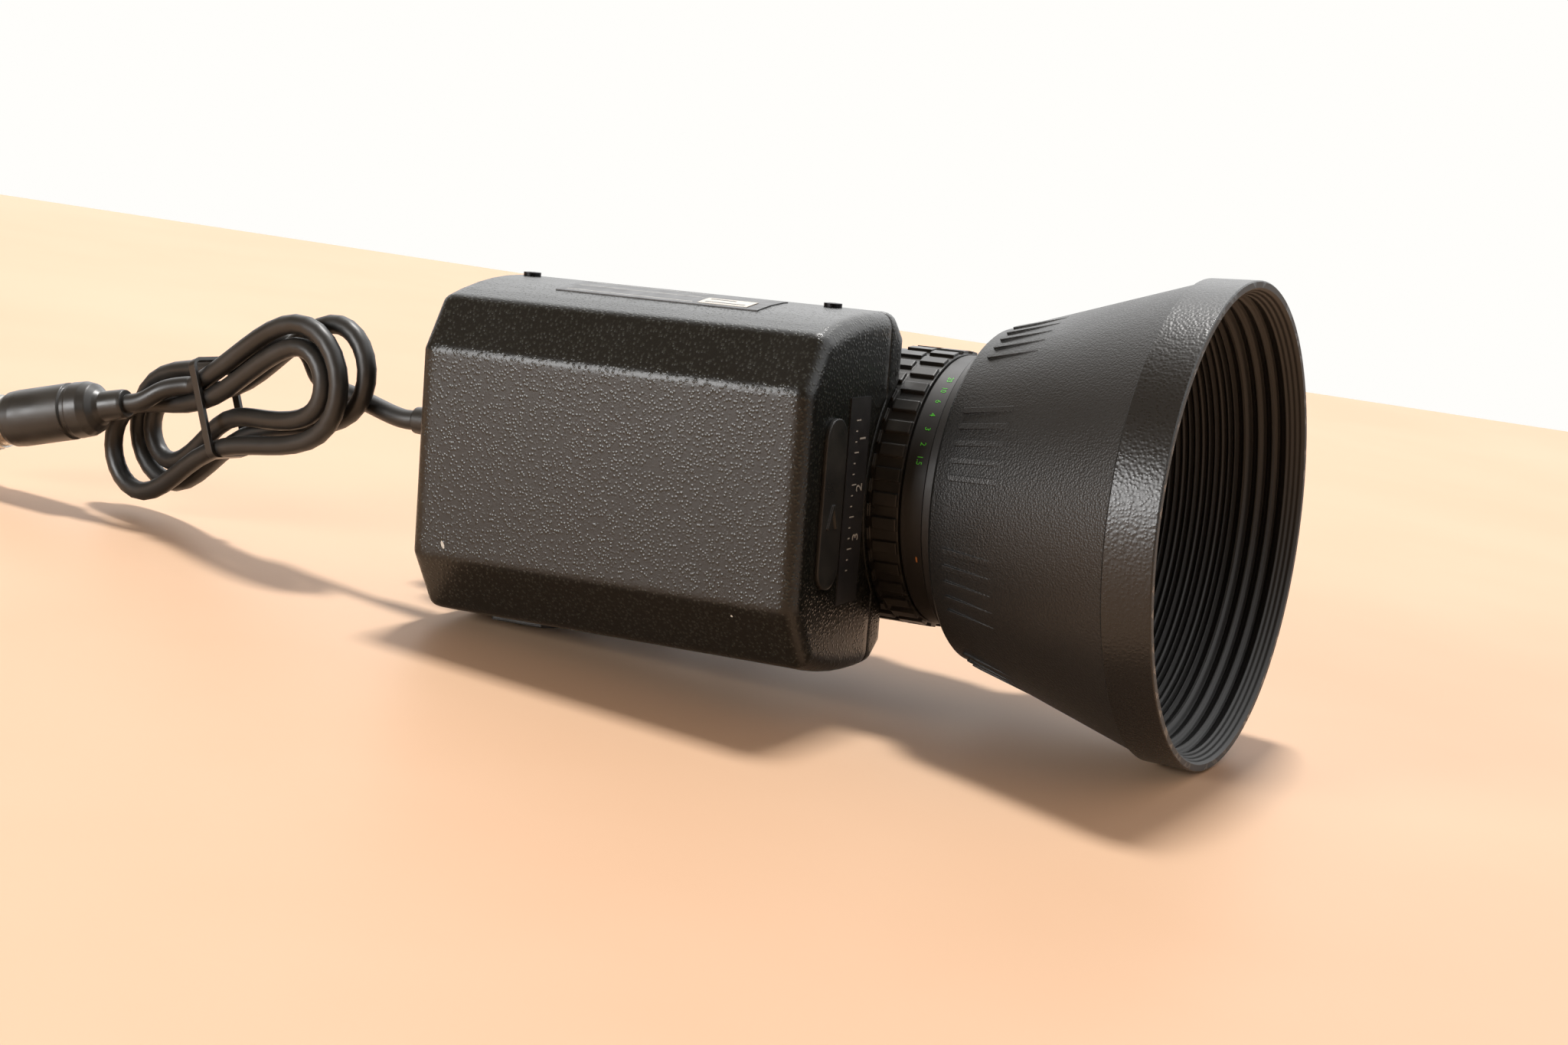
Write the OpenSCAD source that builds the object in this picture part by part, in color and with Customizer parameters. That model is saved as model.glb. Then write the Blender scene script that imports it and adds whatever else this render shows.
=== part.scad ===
// Zoom lens with a side drive unit, a bayonet hood and a tied cable.
// Millimetres. The lens axis is X, the face of the lens mount is at X = 0, the glass looks along +X,
// Z is up and the drive unit hangs on the -Y side.

/* [Lens mount] */
// Radius of the mount disc
mount_r = 30; // [28:0.5:30.5]
// Radius of the spigot that goes into the camera
spigot_r = 21.5; // [21:0.1:22]
// Length of the spigot behind the mount face
spigot_len = 10; // [9:0.5:12]
// Radius over the bayonet lugs
lug_r = 24.8; // [24:0.1:25.5]

/* [Barrel] */
// Outer radius of the fixed barrel that the rings turn on
barrel_r = 31; // [30.8:0.1:31.2]
// Inner radius of the fixed barrel
barrel_bore_r = 28; // [27.5:0.1:28]
// Radius under the rubber of the focus ring
ring_r = 33.4; // [33.2:0.1:33.6]
// Radius over the rubber pads of the focus ring
pad_r = 35.4; // [35.2:0.1:35.6]
// Number of rubber pads in one row
pads = 36; // [24:2:48]
// Radius of the band in front of the focus ring
band_r = 34.3; // [34:0.1:34.8]
// Radius of the collar that the hood sits against
collar_r = 37.3; // [37:0.1:38]
// Radius of the bore for a screw-in filter
filter_r = 33; // [32:0.5:33.5]
// Running gap between a turning ring and the barrel
running_gap = 0.05; // [0.02:0.01:0.1]

/* [Hood] */
// Radius of the hood at its rim
rim_r = 60; // [58:0.5:64]
// Wall of the hood
hood_wall = 2.4; // [2.2:0.1:2.6]
// Half opening angle of the hood's cone
cone_angle = 18.1; // [17.6:0.1:18.6]
// Length of the smooth band at the rim
rim_band = 12; // [10:0.5:14]
// Groups of grip ribs round the hood
rib_groups = 8; // [4:1:9]
// Ribs in one group
ribs = 5; // [3:1:5]

/* [Drive unit] */
// Back end of the case
case_x0 = 15.7; // [15:0.1:16]
// Front end of the case
case_x1 = 124.7; // [124:0.1:125]
// Near side of the case, as a distance from the lens axis
case_depth = 71.8; // [71:0.1:73]
// Wall of the case
case_wall = 2.2; // [2:0.1:2.4]
// Radius of the hollow that clears the rings
hollow_r = 36.5; // [36.4:0.1:36.6]
// Radius of the end edges
edge_r = 4; // [3:0.5:4.5]
// Angle between the three gear trains
train_angle = 25; // [24:0.5:25.5]

/* [Gears] */
// Size of the teeth: pitch diameter over number of teeth
gear_module = 0.8; // [0.8]
// Teeth on each lens ring
ring_teeth = 88; // [88]
// Teeth on each idler gear
idler_teeth = 22; // [22]
// Teeth on each motor pinion
pinion_teeth = 14; // [14]

/* [Cable] */
// Radius of the cable
cable_r = 2.6; // [2.5:0.05:2.6]
// Distance between neighbouring turns of the tied hank
hank_step = 6.4; // [6.4:0.1:6.6]
// Number of loops in the hank
hank_loops = 3; // [3]

/* [Hidden] */
$fn = 64;

// Stations along the lens axis, from the mount face forwards
barrel_x0 = 3;
ring_stop_x = 7;
fb_x1 = 15;
rear_clamp_x = [16, 25];
iris_x = [26, 46];
index_x = [46.2, 49.8];
zoom_x = [50, 85.8];
front_clamp_x = [86, 94.8];
focus_x = [95, 132.4];
band_x = [132.6, 139.5];
collar_x1 = 142.4;
front_tube_x1 = 149;
barrel_x1 = 136;
hood_x0 = 142.5;
hood_x1 = 206;

// Middle of the gear teeth on each ring, and where each train leaves the lens, as an angle about X
iris_gear_x = 43;
zoom_gear_x = 69;
focus_gear_x = 103;
tooth_w = 6;
pitch_ring = gear_module * ring_teeth / 2;
pitch_idler = gear_module * idler_teeth / 2;
pitch_pinion = gear_module * pinion_teeth / 2;
idler_at = pitch_ring + pitch_idler;
pinion_at = idler_at + pitch_idler + pitch_pinion;
backlash = 0.06;
shaft_r = 1;
axle_r = 1.5;
motor_r = 8;
motor_len = 28;
plate = 2;

// ---------- helpers ----------

// A 2D shape drawn in Y and Z, stretched along X
module along_x(x0, x1) {
  translate([x0, 0, 0]) rotate([90, 0, 90]) linear_extrude(x1 - x0) children();
}

// A round bar or tube along X
module tube_x(x0, x1, outer, inner = 0) {
  translate([x0, 0, 0]) rotate([0, 90, 0]) difference() {
    cylinder(h = x1 - x0, r = outer);
    if (inner > 0) translate([0, 0, -1]) cylinder(h = x1 - x0 + 2, r = inner);
  }
}

// A turned part: points are [radius, x]
module turned(points) {
  rotate([0, 90, 0]) rotate_extrude() polygon(points);
}

// A sector of a tube along X, centred on an angle measured from +Y towards +Z
module sector_x(x0, x1, outer, inner, middle, width) {
  reach = outer * 2;
  intersection() {
    tube_x(x0, x1, outer, inner);
    rotate([middle, 0, 0]) along_x(x0 - 1, x1 + 1)
      polygon([[0, 0], [reach * cos(width / 2), -reach * sin(width / 2)],
               [reach, 0], [reach * cos(width / 2), reach * sin(width / 2)]]);
  }
}

// Screw with a low round head, standing on z = 0
module round_screw(head_r, head_h, shank_r, shank_len) {
  cylinder(h = head_h, r = head_r);
  translate([0, 0, -shank_len]) cylinder(h = shank_len, r = shank_r);
}

function involute(a) = tan(a) * 180 / PI - a;

// Half width, as an angle, of an involute tooth at radius r
function tooth_half(n, r) =
  let (pitch = gear_module * n / 2, base = pitch * cos(20))
  (90 / n) - (backlash / pitch) * 180 / PI + involute(20) - involute(acos(min(1, base / r)));

// Outline of a gear with n involute teeth, one of them at angle 0
function gear_outline(n) =
  let (pitch = gear_module * n / 2, base = pitch * cos(20), tip = pitch + gear_module,
       root = pitch - 1.25 * gear_module, foot = max(root, base),
       radii = root > base ? [root, pitch, tip] : [foot, pitch, tip])
  [for (k = [0:n - 1]) let (c = 360 * k / n)
    each concat(
      root > base ? [] : [[root * cos(c - tooth_half(n, foot)), root * sin(c - tooth_half(n, foot))]],
      [for (r = radii) [r * cos(c - tooth_half(n, r)), r * sin(c - tooth_half(n, r))]],
      [for (i = [2:-1:0]) let (r = radii[i]) [r * cos(c + tooth_half(n, r)), r * sin(c + tooth_half(n, r))]],
      root > base ? [] : [[root * cos(c + tooth_half(n, foot)), root * sin(c + tooth_half(n, foot))]])];

// Outline of a ring of n raised bars: radii inner and outer, half widths at their foot and top
function bars_outline(n, inner, outer, foot, top, start = 0) =
  [for (k = [0:n - 1]) let (c = start + 360 * k / n)
    each [[inner * cos(c - foot), inner * sin(c - foot)], [outer * cos(c - top), outer * sin(c - top)],
          [outer * cos(c + top), outer * sin(c + top)], [inner * cos(c + foot), inner * sin(c + foot)]]];

// Puts a part of a gear train at its angle: 0 is straight out along -Y, +1 is up and -1 is down
module train(place) {
  rotate([-place * train_angle, 0, 0]) children();
}

// ---------- lens mount and barrel ----------

module main_barrel() {
  color("#26272a") difference() {
    turned([[19, barrel_x0], [32.5, barrel_x0], [32.5, ring_stop_x], [barrel_r, ring_stop_x],
            [barrel_r, barrel_x1], [barrel_bore_r, barrel_x1], [barrel_bore_r, ring_stop_x + 2],
            [19, ring_stop_x + 2]]);
    // Straight guide slots for the pins of the moving lens cells
    guide_slot(45, 73, 60);
    guide_slot(84, 88, -60);
    guide_slot(105, 113, 60);
  }
}

// A slot along X through the barrel wall, between two pin positions
module guide_slot(x0, x1, at) {
  rotate([at, 0, 0]) {
    translate([x0, 0, 0]) rotate([-90, 0, 0]) translate([0, 0, 24]) cylinder(h = 10, r = 1.3);
    translate([x1, 0, 0]) rotate([-90, 0, 0]) translate([0, 0, 24]) cylinder(h = 10, r = 1.3);
    translate([x0, 24, -1.3]) cube([x1 - x0, 10, 2.6]);
  }
}

// The disc, and a spigot whose rear end guides the lens while its lugs turn in behind the camera's ring
module bayonet_mount() {
  lug_x = [-5.5, -3.5];
  relief_r = spigot_r - 0.4;
  color("#b9bbbe") {
    difference() {
      union() {
        tube_x(0, barrel_x0, mount_r, 18);
        tube_x(-spigot_len, lug_x[0], spigot_r, 18);
        tube_x(lug_x[0], 0, relief_r, 18);
        for (a = [90, 210, 330]) sector_x(lug_x[0], lug_x[1], lug_r, relief_r - 1, a, 50);
      }
      for (a = [45:90:315]) rotate([a, 0, 0]) translate([-1, 26.5, 0]) rotate([0, 90, 0]) {
        cylinder(h = 5, r = 1.1);
        cylinder(h = 2.2, r = 2.1);
      }
    }
    // Locating pin beside the spigot
    translate([-1.5, 0, 27]) rotate([0, 90, 0]) cylinder(h = 1.5, r = 1);
  }
}

module mount_screws() {
  color("#9a9ca0") for (a = [45:90:315]) rotate([a, 0, 0]) translate([0, 26.5, 0]) rotate([0, 90, 0]) {
    difference() {
      translate([0, 0, 0.2]) cylinder(h = 1, r = 2.05);
      translate([-1.2, -0.25, 0.1]) cube([2.4, 0.5, 0.6]);
      translate([-0.25, -1.2, 0.1]) cube([0.5, 2.4, 0.6]);
    }
    translate([0, 0, 1.2]) cylinder(h = 1.8, r = 1.1);
  }
}

module flange_back_ring() {
  color("#1f2023") difference() {
    union() {
      tube_x(ring_stop_x + 0.2, fb_x1, 32.6);
      along_x(ring_stop_x + 2, fb_x1 - 2) polygon(bars_outline(60, 32.6, 33.3, 1.9, 1.3));
    }
    tube_x(0, 20, barrel_r + running_gap);
    rotate([45, 0, 0]) translate([11.2, 30, 0]) rotate([-90, 0, 0]) cylinder(h = 8, r = 1.25);
  }
}

module lock_screw() {
  color("#3a3b3e") rotate([45, 0, 0]) translate([11.2, 0, 0]) rotate([-90, 0, 0]) {
    translate([0, 0, 31.4]) cylinder(h = 4, r = 1.2);
    translate([0, 0, 34.2]) cylinder(h = 7, r = 2.2);
    translate([0, 0, 36.5]) linear_extrude(4.5) polygon(bars_outline(18, 2.2, 2.7, 8, 5));
  }
}

// Lens cell: a turned tube with an inner lip, and a guide pin at an angle
module cell(x0, x1, glass_r, pin_x, pin_at) {
  turned([[glass_r, x0 + 1], [glass_r - 1.5, x0 + 1], [glass_r - 1.5, x0], [27.95, x0], [27.95, x1],
          [glass_r, x1]]);
  rotate([pin_at, 0, 0]) translate([pin_x, 27, 0]) rotate([-90, 0, 0]) cylinder(h = 3.8, r = 1.2);
}

// How far a lens face of this curve has gone back from its crown at radius r
function sag(r, curve) = curve - sign(curve) * sqrt(curve * curve - r * r);

// A turned lens with its crowns at x0 and x1; a curve is positive where the face bulges outwards
module lens(x0, x1, r, curve0, curve1) {
  steps = 8;
  turned(concat([for (k = [0:steps]) [r * k / steps, x0 + sag(r * k / steps, curve0)]],
                [for (k = [steps:-1:0]) [r * k / steps, x1 - sag(r * k / steps, curve1)]]));
}

module rear_cell() {
  color("#2b2c30") turned([[14.5, -4], [13.4, -4], [13.4, -5], [17.95, -5], [17.95, 6], [14.5, 6]]);
}

module rear_glass() {
  color("#8fa4b8") lens(-4.4, 4.6, 14.5, 42, 42);
}

module iris_housing() {
  color("#1c1d20") turned([[11, 26], [barrel_bore_r, 26], [barrel_bore_r, 37], [12, 37], [12, 35.5],
                           [24, 35.5], [24, 28], [11, 28]]);
}

module relay_glass() {
  color("#8fa4b8") lens(22, 31, 11, 30, 30);
}

module variator_cell() {
  color("#2b2c30") cell(40, 50, 16, 45, 60);
}

module variator_glass() {
  color("#8fa4b8") lens(43.6, 45.4, 16, -50, -50);
}

module compensator_cell() {
  color("#2b2c30") cell(84, 92, 18, 88, -60);
}

module compensator_glass() {
  color("#8fa4b8") lens(87.4, 89, 18, -70, -70);
}

module focus_cell() {
  color("#2b2c30") cell(98, 112, 24, 105, 60);
}

module focus_glass() {
  color("#8fa4b8") lens(100.2, 111.2, 24, 90, 80);
}

// Turned lens ring with gear teeth; the rest of its outline follows in [radius, x]
module geared_ring(x, gear_x, place, top) {
  difference() {
    union() {
      turned(concat([[barrel_r - 1, x[0]]], top, [[barrel_r - 1, x[1]]]));
      rotate([180 - place * train_angle, 0, 0]) along_x(gear_x - tooth_w / 2, gear_x + tooth_w / 2)
        polygon(gear_outline(ring_teeth));
    }
    tube_x(x[0] - 1, x[1] + 1, barrel_r + running_gap);
  }
}

module iris_ring() {
  color("#1d1e21") {
    geared_ring(iris_x, iris_gear_x, -1, [[33, 26.2], [33.2, 26.6], [33.2, 45.8], [33, 46]]);
    difference() {
      along_x(29, 36) polygon(bars_outline(48, 33.1, 34, 2.4, 1.6));
      tube_x(28, 37, 32.5);
    }
  }
}

module index_ring() {
  color("#1a1b1d") tube_x(index_x[0], index_x[1], 33.4, barrel_r);
}

module zoom_ring() {
  color("#1d1e21") {
    geared_ring(zoom_x, zoom_gear_x, 0, [[33, 50.2], [33.2, 50.6], [33.2, 85.4], [33, 85.8]]);
    difference() {
      along_x(76, 84) polygon(bars_outline(48, 33.1, 34, 2.4, 1.6));
      tube_x(75, 85, 32.5);
    }
  }
}

module focus_ring() {
  color("#1d1e21") geared_ring(focus_x, focus_gear_x, 1,
    [[33, 95.2], [33.2, 95.6], [33.2, 107], [34.2, 107.8], [34.2, 116.6], [ring_r, 117.2], [ring_r, 132.4]]);
}

module focus_grip() {
  pad_half = 360 / pads / 4;
  color("#151516") difference() {
    union() {
      tube_x(117.4, 132.3, 34.6);
      along_x(125.5, 132) polygon(bars_outline(pads, 34.5, pad_r, pad_half + 0.35, pad_half));
      along_x(118, 124.6) polygon(bars_outline(pads, 34.5, pad_r, pad_half + 0.35, pad_half, 180 / pads));
    }
    tube_x(117, 133, ring_r);
  }
}

// A ring clamped on the barrel, with the saddle that carries the drive unit
module clamp_ring(x) {
  color("#222326") {
    tube_x(x[0], x[1], 33.4, barrel_r);
    sector_x(x[0], x[1], hollow_r, 33.2, 180, 60);
  }
}

module rear_clamp_ring() {
  clamp_ring(rear_clamp_x);
}

module front_clamp_ring() {
  clamp_ring(front_clamp_x);
}

module front_cell() {
  color("#1c1d20") turned([[24.5, 122], [barrel_bore_r, 122], [barrel_bore_r, 133], [26, 133], [26, 124.8],
                           [24.5, 124.8]]);
}

module front_element() {
  color("#6f86a0") lens(122.9, 134.5, 26, 150, 65);
}

module front_retaining_ring() {
  color("#141416") difference() {
    tube_x(129.8, 132.8, 26, 24.4);
    // Two notches for the pin wrench
    for (a = [90, 270]) rotate([a, 0, 0]) translate([131.8, 24, -1]) cube([2, 3, 2]);
  }
}

module name_band() {
  color("#121213") turned([[barrel_r, band_x[0]], [band_r - 0.2, band_x[0]], [band_r, band_x[0] + 0.3],
                           [band_r, band_x[1]], [30, band_x[1]], [30, barrel_x1], [barrel_r, barrel_x1]]);
}

module front_ring() {
  color("#1b1b1d") {
    turned([[30, band_x[1]], [collar_r - 0.4, band_x[1]], [collar_r, band_x[1] + 0.4],
            [collar_r, collar_x1], [35.4, collar_x1], [35.4, front_tube_x1], [filter_r, front_tube_x1],
            [filter_r, 141], [30, 141]]);
    for (a = [60, 180, 300]) sector_x(144, 146, 36.8, 35, a, 30);
  }
}

// ---------- hood ----------

cone_x0 = 145;
cone_x1 = hood_x1 - rim_band - 0.5;
cone_slope = tan(cone_angle);
cone_r1 = rim_r - 1.7;
cone_r0 = cone_r1 - (cone_x1 - cone_x0) * cone_slope;
function cone_r(x) = cone_r1 - (cone_x1 - x) * cone_slope;
shoulder_steps = 5;

// Inner radius of the wall: along the cone, then more slowly out to the rim
function inside_r(x) = x < cone_x1 ? cone_r(x) - hood_wall
  : cone_r1 - hood_wall + (x - cone_x1) * (rim_r - cone_r1) / (hood_x1 - cone_x1);

// Light-trap ridges: from x0 forwards, n of them, each with its own pitch
function ridges(x0, n, pitch, depth) =
  [for (k = [0:n - 1]) let (x = x0 + k * pitch)
    each [[inside_r(x), x], [inside_r(x) - depth, x + pitch * 0.45], [inside_r(x) - depth, x + pitch * 0.6]]];

module hood() {
  shoulder = [for (k = [1:shoulder_steps - 1]) let (a = 90 * k / shoulder_steps)
    [38.5 + (cone_r0 - 38.5) * sin(a), cone_x0 - (cone_x0 - hood_x0 - 0.3) * cos(a)]];
  color("#202022") difference() {
    union() {
      turned(concat(
        [[35.45, hood_x0], [38.2, hood_x0], [38.5, hood_x0 + 0.3]],
        shoulder,
        [[cone_r0, cone_x0], [cone_r1, cone_x1], [rim_r - 0.8, cone_x1 + 0.5], [rim_r - 0.3, hood_x1 - 0.3],
         [rim_r - 0.6, hood_x1], [rim_r - hood_wall + 0.3, hood_x1], [rim_r - hood_wall, hood_x1 - 0.3]],
        ridge_points(),
        [[inside_r(150.2), 150.2], [35.45, 149.6], [35.45, 146.2], [37, 146.2], [37, 143.9],
         [35.45, 143.9]]));
      for (g = [0:rib_groups - 1], k = [0:ribs - 1])
        rotate([180 - 22 + 360 * g / 8 + 5.5 * (k - (ribs - 1) / 2), 0, 0]) grip_rib();
    }
    // Entry slots of the bayonet
    for (a = [5, 125, 245]) sector_x(hood_x0 - 1, 144, 36.9, 34, a, 34);
  }
}

// All inner ridges, from the rim backwards: wide ones near the rim and fine ones inside
function ridge_points() =
  let (fine_n = 24, fine_pitch = 1.6, x0 = 151,
       fine = ridges(x0, fine_n, fine_pitch, 0.7), wide = ridges(x0 + fine_n * fine_pitch, 4, 3.4, 0.9))
  concat([for (i = [len(wide) - 1:-1:0]) wide[i]], [for (i = [len(fine) - 1:-1:0]) fine[i]]);

// One grip rib: a bar with a round end that sinks into the cone towards the front
module grip_rib() {
  x0 = 149;
  rib_w = 1.4;
  rib_len = 14;
  rib_h = 0.6;
  root = 1;
  sink = atan(rib_h / rib_len);
  translate([x0, cone_r(x0) - root, 0]) rotate([0, 0, cone_angle - sink]) rotate([-90, 0, 0])
    linear_extrude(root + rib_h) {
      circle(r = rib_w / 2, $fn = 24);
      translate([0, -rib_w / 2]) square([rib_len, rib_w]);
    }
}

// ---------- drive unit case ----------

near_y = -case_depth;
far_y = -20.1;
part_y = -30;
crown_y = -34;
top_z = 45;
bottom_z = -43;
top_edge = [-64.1, 40.1];
bottom_edge = [-63.2, -39];
crown_end = -26;
crown_steps = 6;

// Height of the crowned top or bottom at a given y: an arc through its edge and its crown
function crown(y, edge, crest) = crest + (edge[1] - crest) * pow((y - crown_y) / (edge[0] - crown_y), 2);

// Outline of the case in Y and Z
case_outline = concat(
  [[near_y, -24.8], [near_y, 27.2]],
  [for (k = [0:crown_steps]) let (y = top_edge[0] + (crown_end - top_edge[0]) * k / crown_steps)
    [y, crown(y, top_edge, top_z)]],
  [[far_y, 39]],
  [[far_y, -38]],
  [for (k = [crown_steps:-1:0]) let (y = bottom_edge[0] + (crown_end - bottom_edge[0]) * k / crown_steps)
    [y, crown(y, bottom_edge, bottom_z)]]);

module case_shape(grow = 0) {
  offset(delta = grow) offset(r = 3, $fn = 32) offset(delta = -3) polygon(case_outline);
}

// The case as one solid with rounded ends
module case_block() {
  turns = 6;
  slice = 0.05;
  hull() for (k = [0:turns]) {
    a = 90 * k / turns;
    back = edge_r * (1 - sin(a));
    in = edge_r * (1 - cos(a));
    along_x(case_x0 + back, case_x0 + back + slice) case_shape(-in);
    along_x(case_x1 - back - slice, case_x1 - back) case_shape(-in);
  }
}

// Everything on the near side of the parting plane, or on the far side
module near_half(y) {
  translate([0, y - 100, -100]) cube([200, 100, 200]);
}

module far_half(y) {
  translate([0, y, -100]) cube([200, 100, 200]);
}

module inner_space() {
  along_x(case_x0 + case_wall, case_x1 - case_wall) case_shape(-case_wall);
}

// Oblong opening for the mode switches, on the front wall
switch_y = -57.5;
slot_r = 4.5;
slot_z = 15.2;
module oblong_x(x0, x1, r) {
  for (s = [-1, 1]) translate([0, switch_y, s * slot_z + 0.2]) tube_x(x0, x1, r);
  translate([x0, switch_y - r, -slot_z + 0.2]) cube([x1 - x0, 2 * r, 2 * slot_z]);
}

screw_y = -33.4;
screw_x = [23, 110];
gland_at = [-45, 5];
module drive_cover() {
  color("#232325") {
    difference() {
      intersection() {
        case_block();
        near_half(part_y - 0.15);
      }
      inner_space();
      tube_x(0, 200, hollow_r + 1.9);
      oblong_x(120, 126, slot_r);
      translate([0, gland_at[0], gland_at[1]]) tube_x(10, 20, 5);
      for (x = screw_x) translate([x, screw_y, -50]) cylinder(h = 100, r = 1.5);
    }
    for (x = [30, 112], z = [-16, 16]) translate([x, near_y + case_wall - 0.2, z]) rotate([-90, 0, 0])
      cylinder(h = 1.1, r = 2.2);
  }
}

module drive_back_cover() {
  lip_end = part_y - 6;
  color("#202022") difference() {
    union() {
      difference() {
        intersection() {
          case_block();
          far_half(part_y + 0.15);
        }
        difference() {
          inner_space();
          tube_x(0, 200, hollow_r + 1.8);
        }
      }
      // Curved wall round the lens, on the near side of the parting plane
      intersection() {
        tube_x(case_x0, case_x1, hollow_r + 1.8, hollow_r - 1);
        near_half(part_y + 0.2);
      }
      // Lips that the cover slides over
      intersection() {
        along_x(case_x0 + case_wall + 0.3, case_x1 - case_wall - 0.3) difference() {
          case_shape(-case_wall);
          case_shape(-case_wall - 1.6);
        }
        translate([0, lip_end, -100]) cube([200, part_y + 0.4 - lip_end, 200]);
      }
    }
    tube_x(0, 200, hollow_r);
    for (t = [[iris_gear_x, -1], [zoom_gear_x, 0], [focus_gear_x, 1]]) train(t[1])
      translate([t[0] - 4, -50, -9]) cube([8, 30, 18]);
    for (x = screw_x) translate([x, screw_y, -50]) cylinder(h = 100, r = 1.15);
  }
}

module cover_screws() {
  color("#0f0f10") for (x = screw_x, s = [-1, 1]) {
    z = s > 0 ? top_z : bottom_z;
    translate([x, screw_y, z]) rotate([s > 0 ? 0 : 180, 0, 0]) difference() {
      round_screw(2.25, 0.9, 1.15, 5.5);
      translate([-1.4, -0.25, 0.5]) cube([2.8, 0.5, 1]);
      translate([-0.25, -1.4, 0.5]) cube([0.5, 2.8, 1]);
    }
  }
}

// A thin plate that follows the crowned top
module top_plate(x0, x1, y0, y1, low, high) {
  intersection() {
    along_x(x0, x1) difference() {
      case_shape(high);
      case_shape(low);
    }
    translate([x0, y0, 30]) cube([x1 - x0, y1 - y0, 30]);
  }
}

module top_label() {
  color("#2b2b2d") top_plate(42, 99, -52, -36, 0, 0.25);
}

module top_sticker() {
  color("#e9e8e4") top_plate(81.7, 95.3, -50.5, -44.5, 0.25, 0.4);
}

module front_label() {
  color("#2a2a2c") translate([case_x1, -50, -25]) cube([0.3, 11, 50]);
}

module bottom_pad() {
  color("#141415") intersection() {
    translate([29, -52, -44]) cube([15, 14, 4]);
    difference() {
      along_x(28, 45) case_shape(1);
      along_x(28, 45) case_shape(0);
    }
  }
}

// ---------- inside the drive unit ----------

module circuit_board() {
  color("#1f5a3a") {
    difference() {
      translate([21, -68.7, -21]) cube([99, 1.6, 42]);
      for (x = [30, 112], z = [-16, 16]) translate([x, -70, z]) rotate([-90, 0, 0]) cylinder(h = 4, r = 1.1);
    }
    // Chips and the connector of the cable
    for (c = [[24, -12, 8, 10], [36, -8, 10, 10], [50, 4, 8, 8], [24, 6, 10, 8]])
      translate([c[0], -67.2, c[1]]) cube([c[2], 1.8, c[3]]);
  }
}

module switch_block() {
  color("#17181a") difference() {
    translate([109, -67.1, -18]) cube([9, 14, 36]);
    for (z = [-11, 0, 11]) translate([114, switch_y - 2, z - 4.1]) cube([5, 4, 8.2]);
  }
}

module mode_switch(z) {
  color("#c9c9c4") translate([114.1, switch_y - 1.9, z - 2.5]) cube([3.9, 3.8, 5]);
  color("#c9c9c4") translate([117.9, switch_y - 1.2, z - 1.4]) cube([2.3, 2.4, 2.8]);
}

module focus_switch() {
  mode_switch(11);
}

module zoom_switch() {
  mode_switch(0);
}

module iris_switch() {
  mode_switch(-11);
}

// Rubber plug over the switches: a rim that lies on the wall and a plain body inside the opening
module mode_plug() {
  color("#1b1b1c") {
    oblong_x(case_x1, case_x1 + 1, slot_r + 0.7);
    oblong_x(121.6, case_x1 + 0.5, slot_r - 0.08);
    for (s = [-1, 1]) translate([case_x1 + 0.5, switch_y, 0]) rotate([s * 22, 0, 0])
      translate([0, -0.4, -6]) cube([1, 0.8, 6]);
  }
}

// Where each train has its motor: in front of its gear (+1) or behind it (-1)
trains = [[iris_gear_x, -1, 1], [zoom_gear_x, 0, 1], [focus_gear_x, 1, -1]];

// Puts a part that is drawn with its mounting plate on x = 0, looking back at the gear, into its train
module in_train(t) {
  train(t[1]) translate([t[0] + t[2] * 3.8, 0, 0]) mirror([t[2] > 0 ? 0 : 1, 0, 0]) children();
}

module servo_motors() {
  color("#8d8f93") for (t = trains) in_train(t) translate([0, -pinion_at, 0]) {
    difference() {
      union() {
        tube_x(plate, plate + motor_len, motor_r);
        tube_x(0, plate, 3);
        tube_x(plate + motor_len, plate + motor_len + 1.2, 3);
      }
      tube_x(-1, plate + 7, shaft_r + running_gap);
    }
  }
}

module motor_brackets() {
  color("#6c6e72") for (t = trains) in_train(t) {
    difference() {
      along_x(0, plate) difference() {
        translate([-67, -9]) square([31, 18]);
        circle(r = hollow_r + 1.8);
      }
      translate([0, -pinion_at, 0]) tube_x(-1, plate + 1, 3);
    }
    // Axle of the idler gear, with its head
    translate([0, -idler_at, 0]) {
      tube_x(-6.9, 0.5, axle_r);
      tube_x(-7.7, -6.9, 2.4);
    }
  }
}

module idler(t) {
  color("#c8a25a") in_train(t) translate([0, -idler_at, 0]) difference() {
    rotate([180 / idler_teeth, 0, 0]) along_x(-6.6, -1) polygon(gear_outline(idler_teeth));
    tube_x(-10, 3, axle_r + running_gap);
  }
}

module pinion(t) {
  color("#c8a25a") in_train(t) translate([0, -pinion_at, 0]) {
    along_x(-6.6, -1) polygon(gear_outline(pinion_teeth));
    tube_x(-6.6, plate + 6, shaft_r);
  }
}

module iris_idler() {
  idler(trains[0]);
}

module zoom_idler() {
  idler(trains[1]);
}

module focus_idler() {
  idler(trains[2]);
}

module iris_pinion() {
  pinion(trains[0]);
}

module zoom_pinion() {
  pinion(trains[1]);
}

module focus_pinion() {
  pinion(trains[2]);
}

// ---------- cable ----------

// The hank lies in its own frame: its middle, its turn about Z and its rise towards the case
hank_at = [-68.8, -43, -0.8];
hank_turn = 10;
hank_rise = 21;
hank_right = 39.5;
hank_left = 28;
hank_waist = 1.3;
lobe_right = 8.7;
lobe_left = 8.5;
hank_layer = 3.3;
// How far the layers are shifted along and across the hank, per millimetre of depth
hank_skew = [1.1, 0.35];
hank_a = [cos(hank_turn) * cos(hank_rise), -sin(hank_turn) * cos(hank_rise), sin(hank_rise)];
hank_b = [-cos(hank_turn) * sin(hank_rise), sin(hank_turn) * sin(hank_rise), cos(hank_rise)];
hank_n = [sin(hank_turn), cos(hank_turn), 0];

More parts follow.
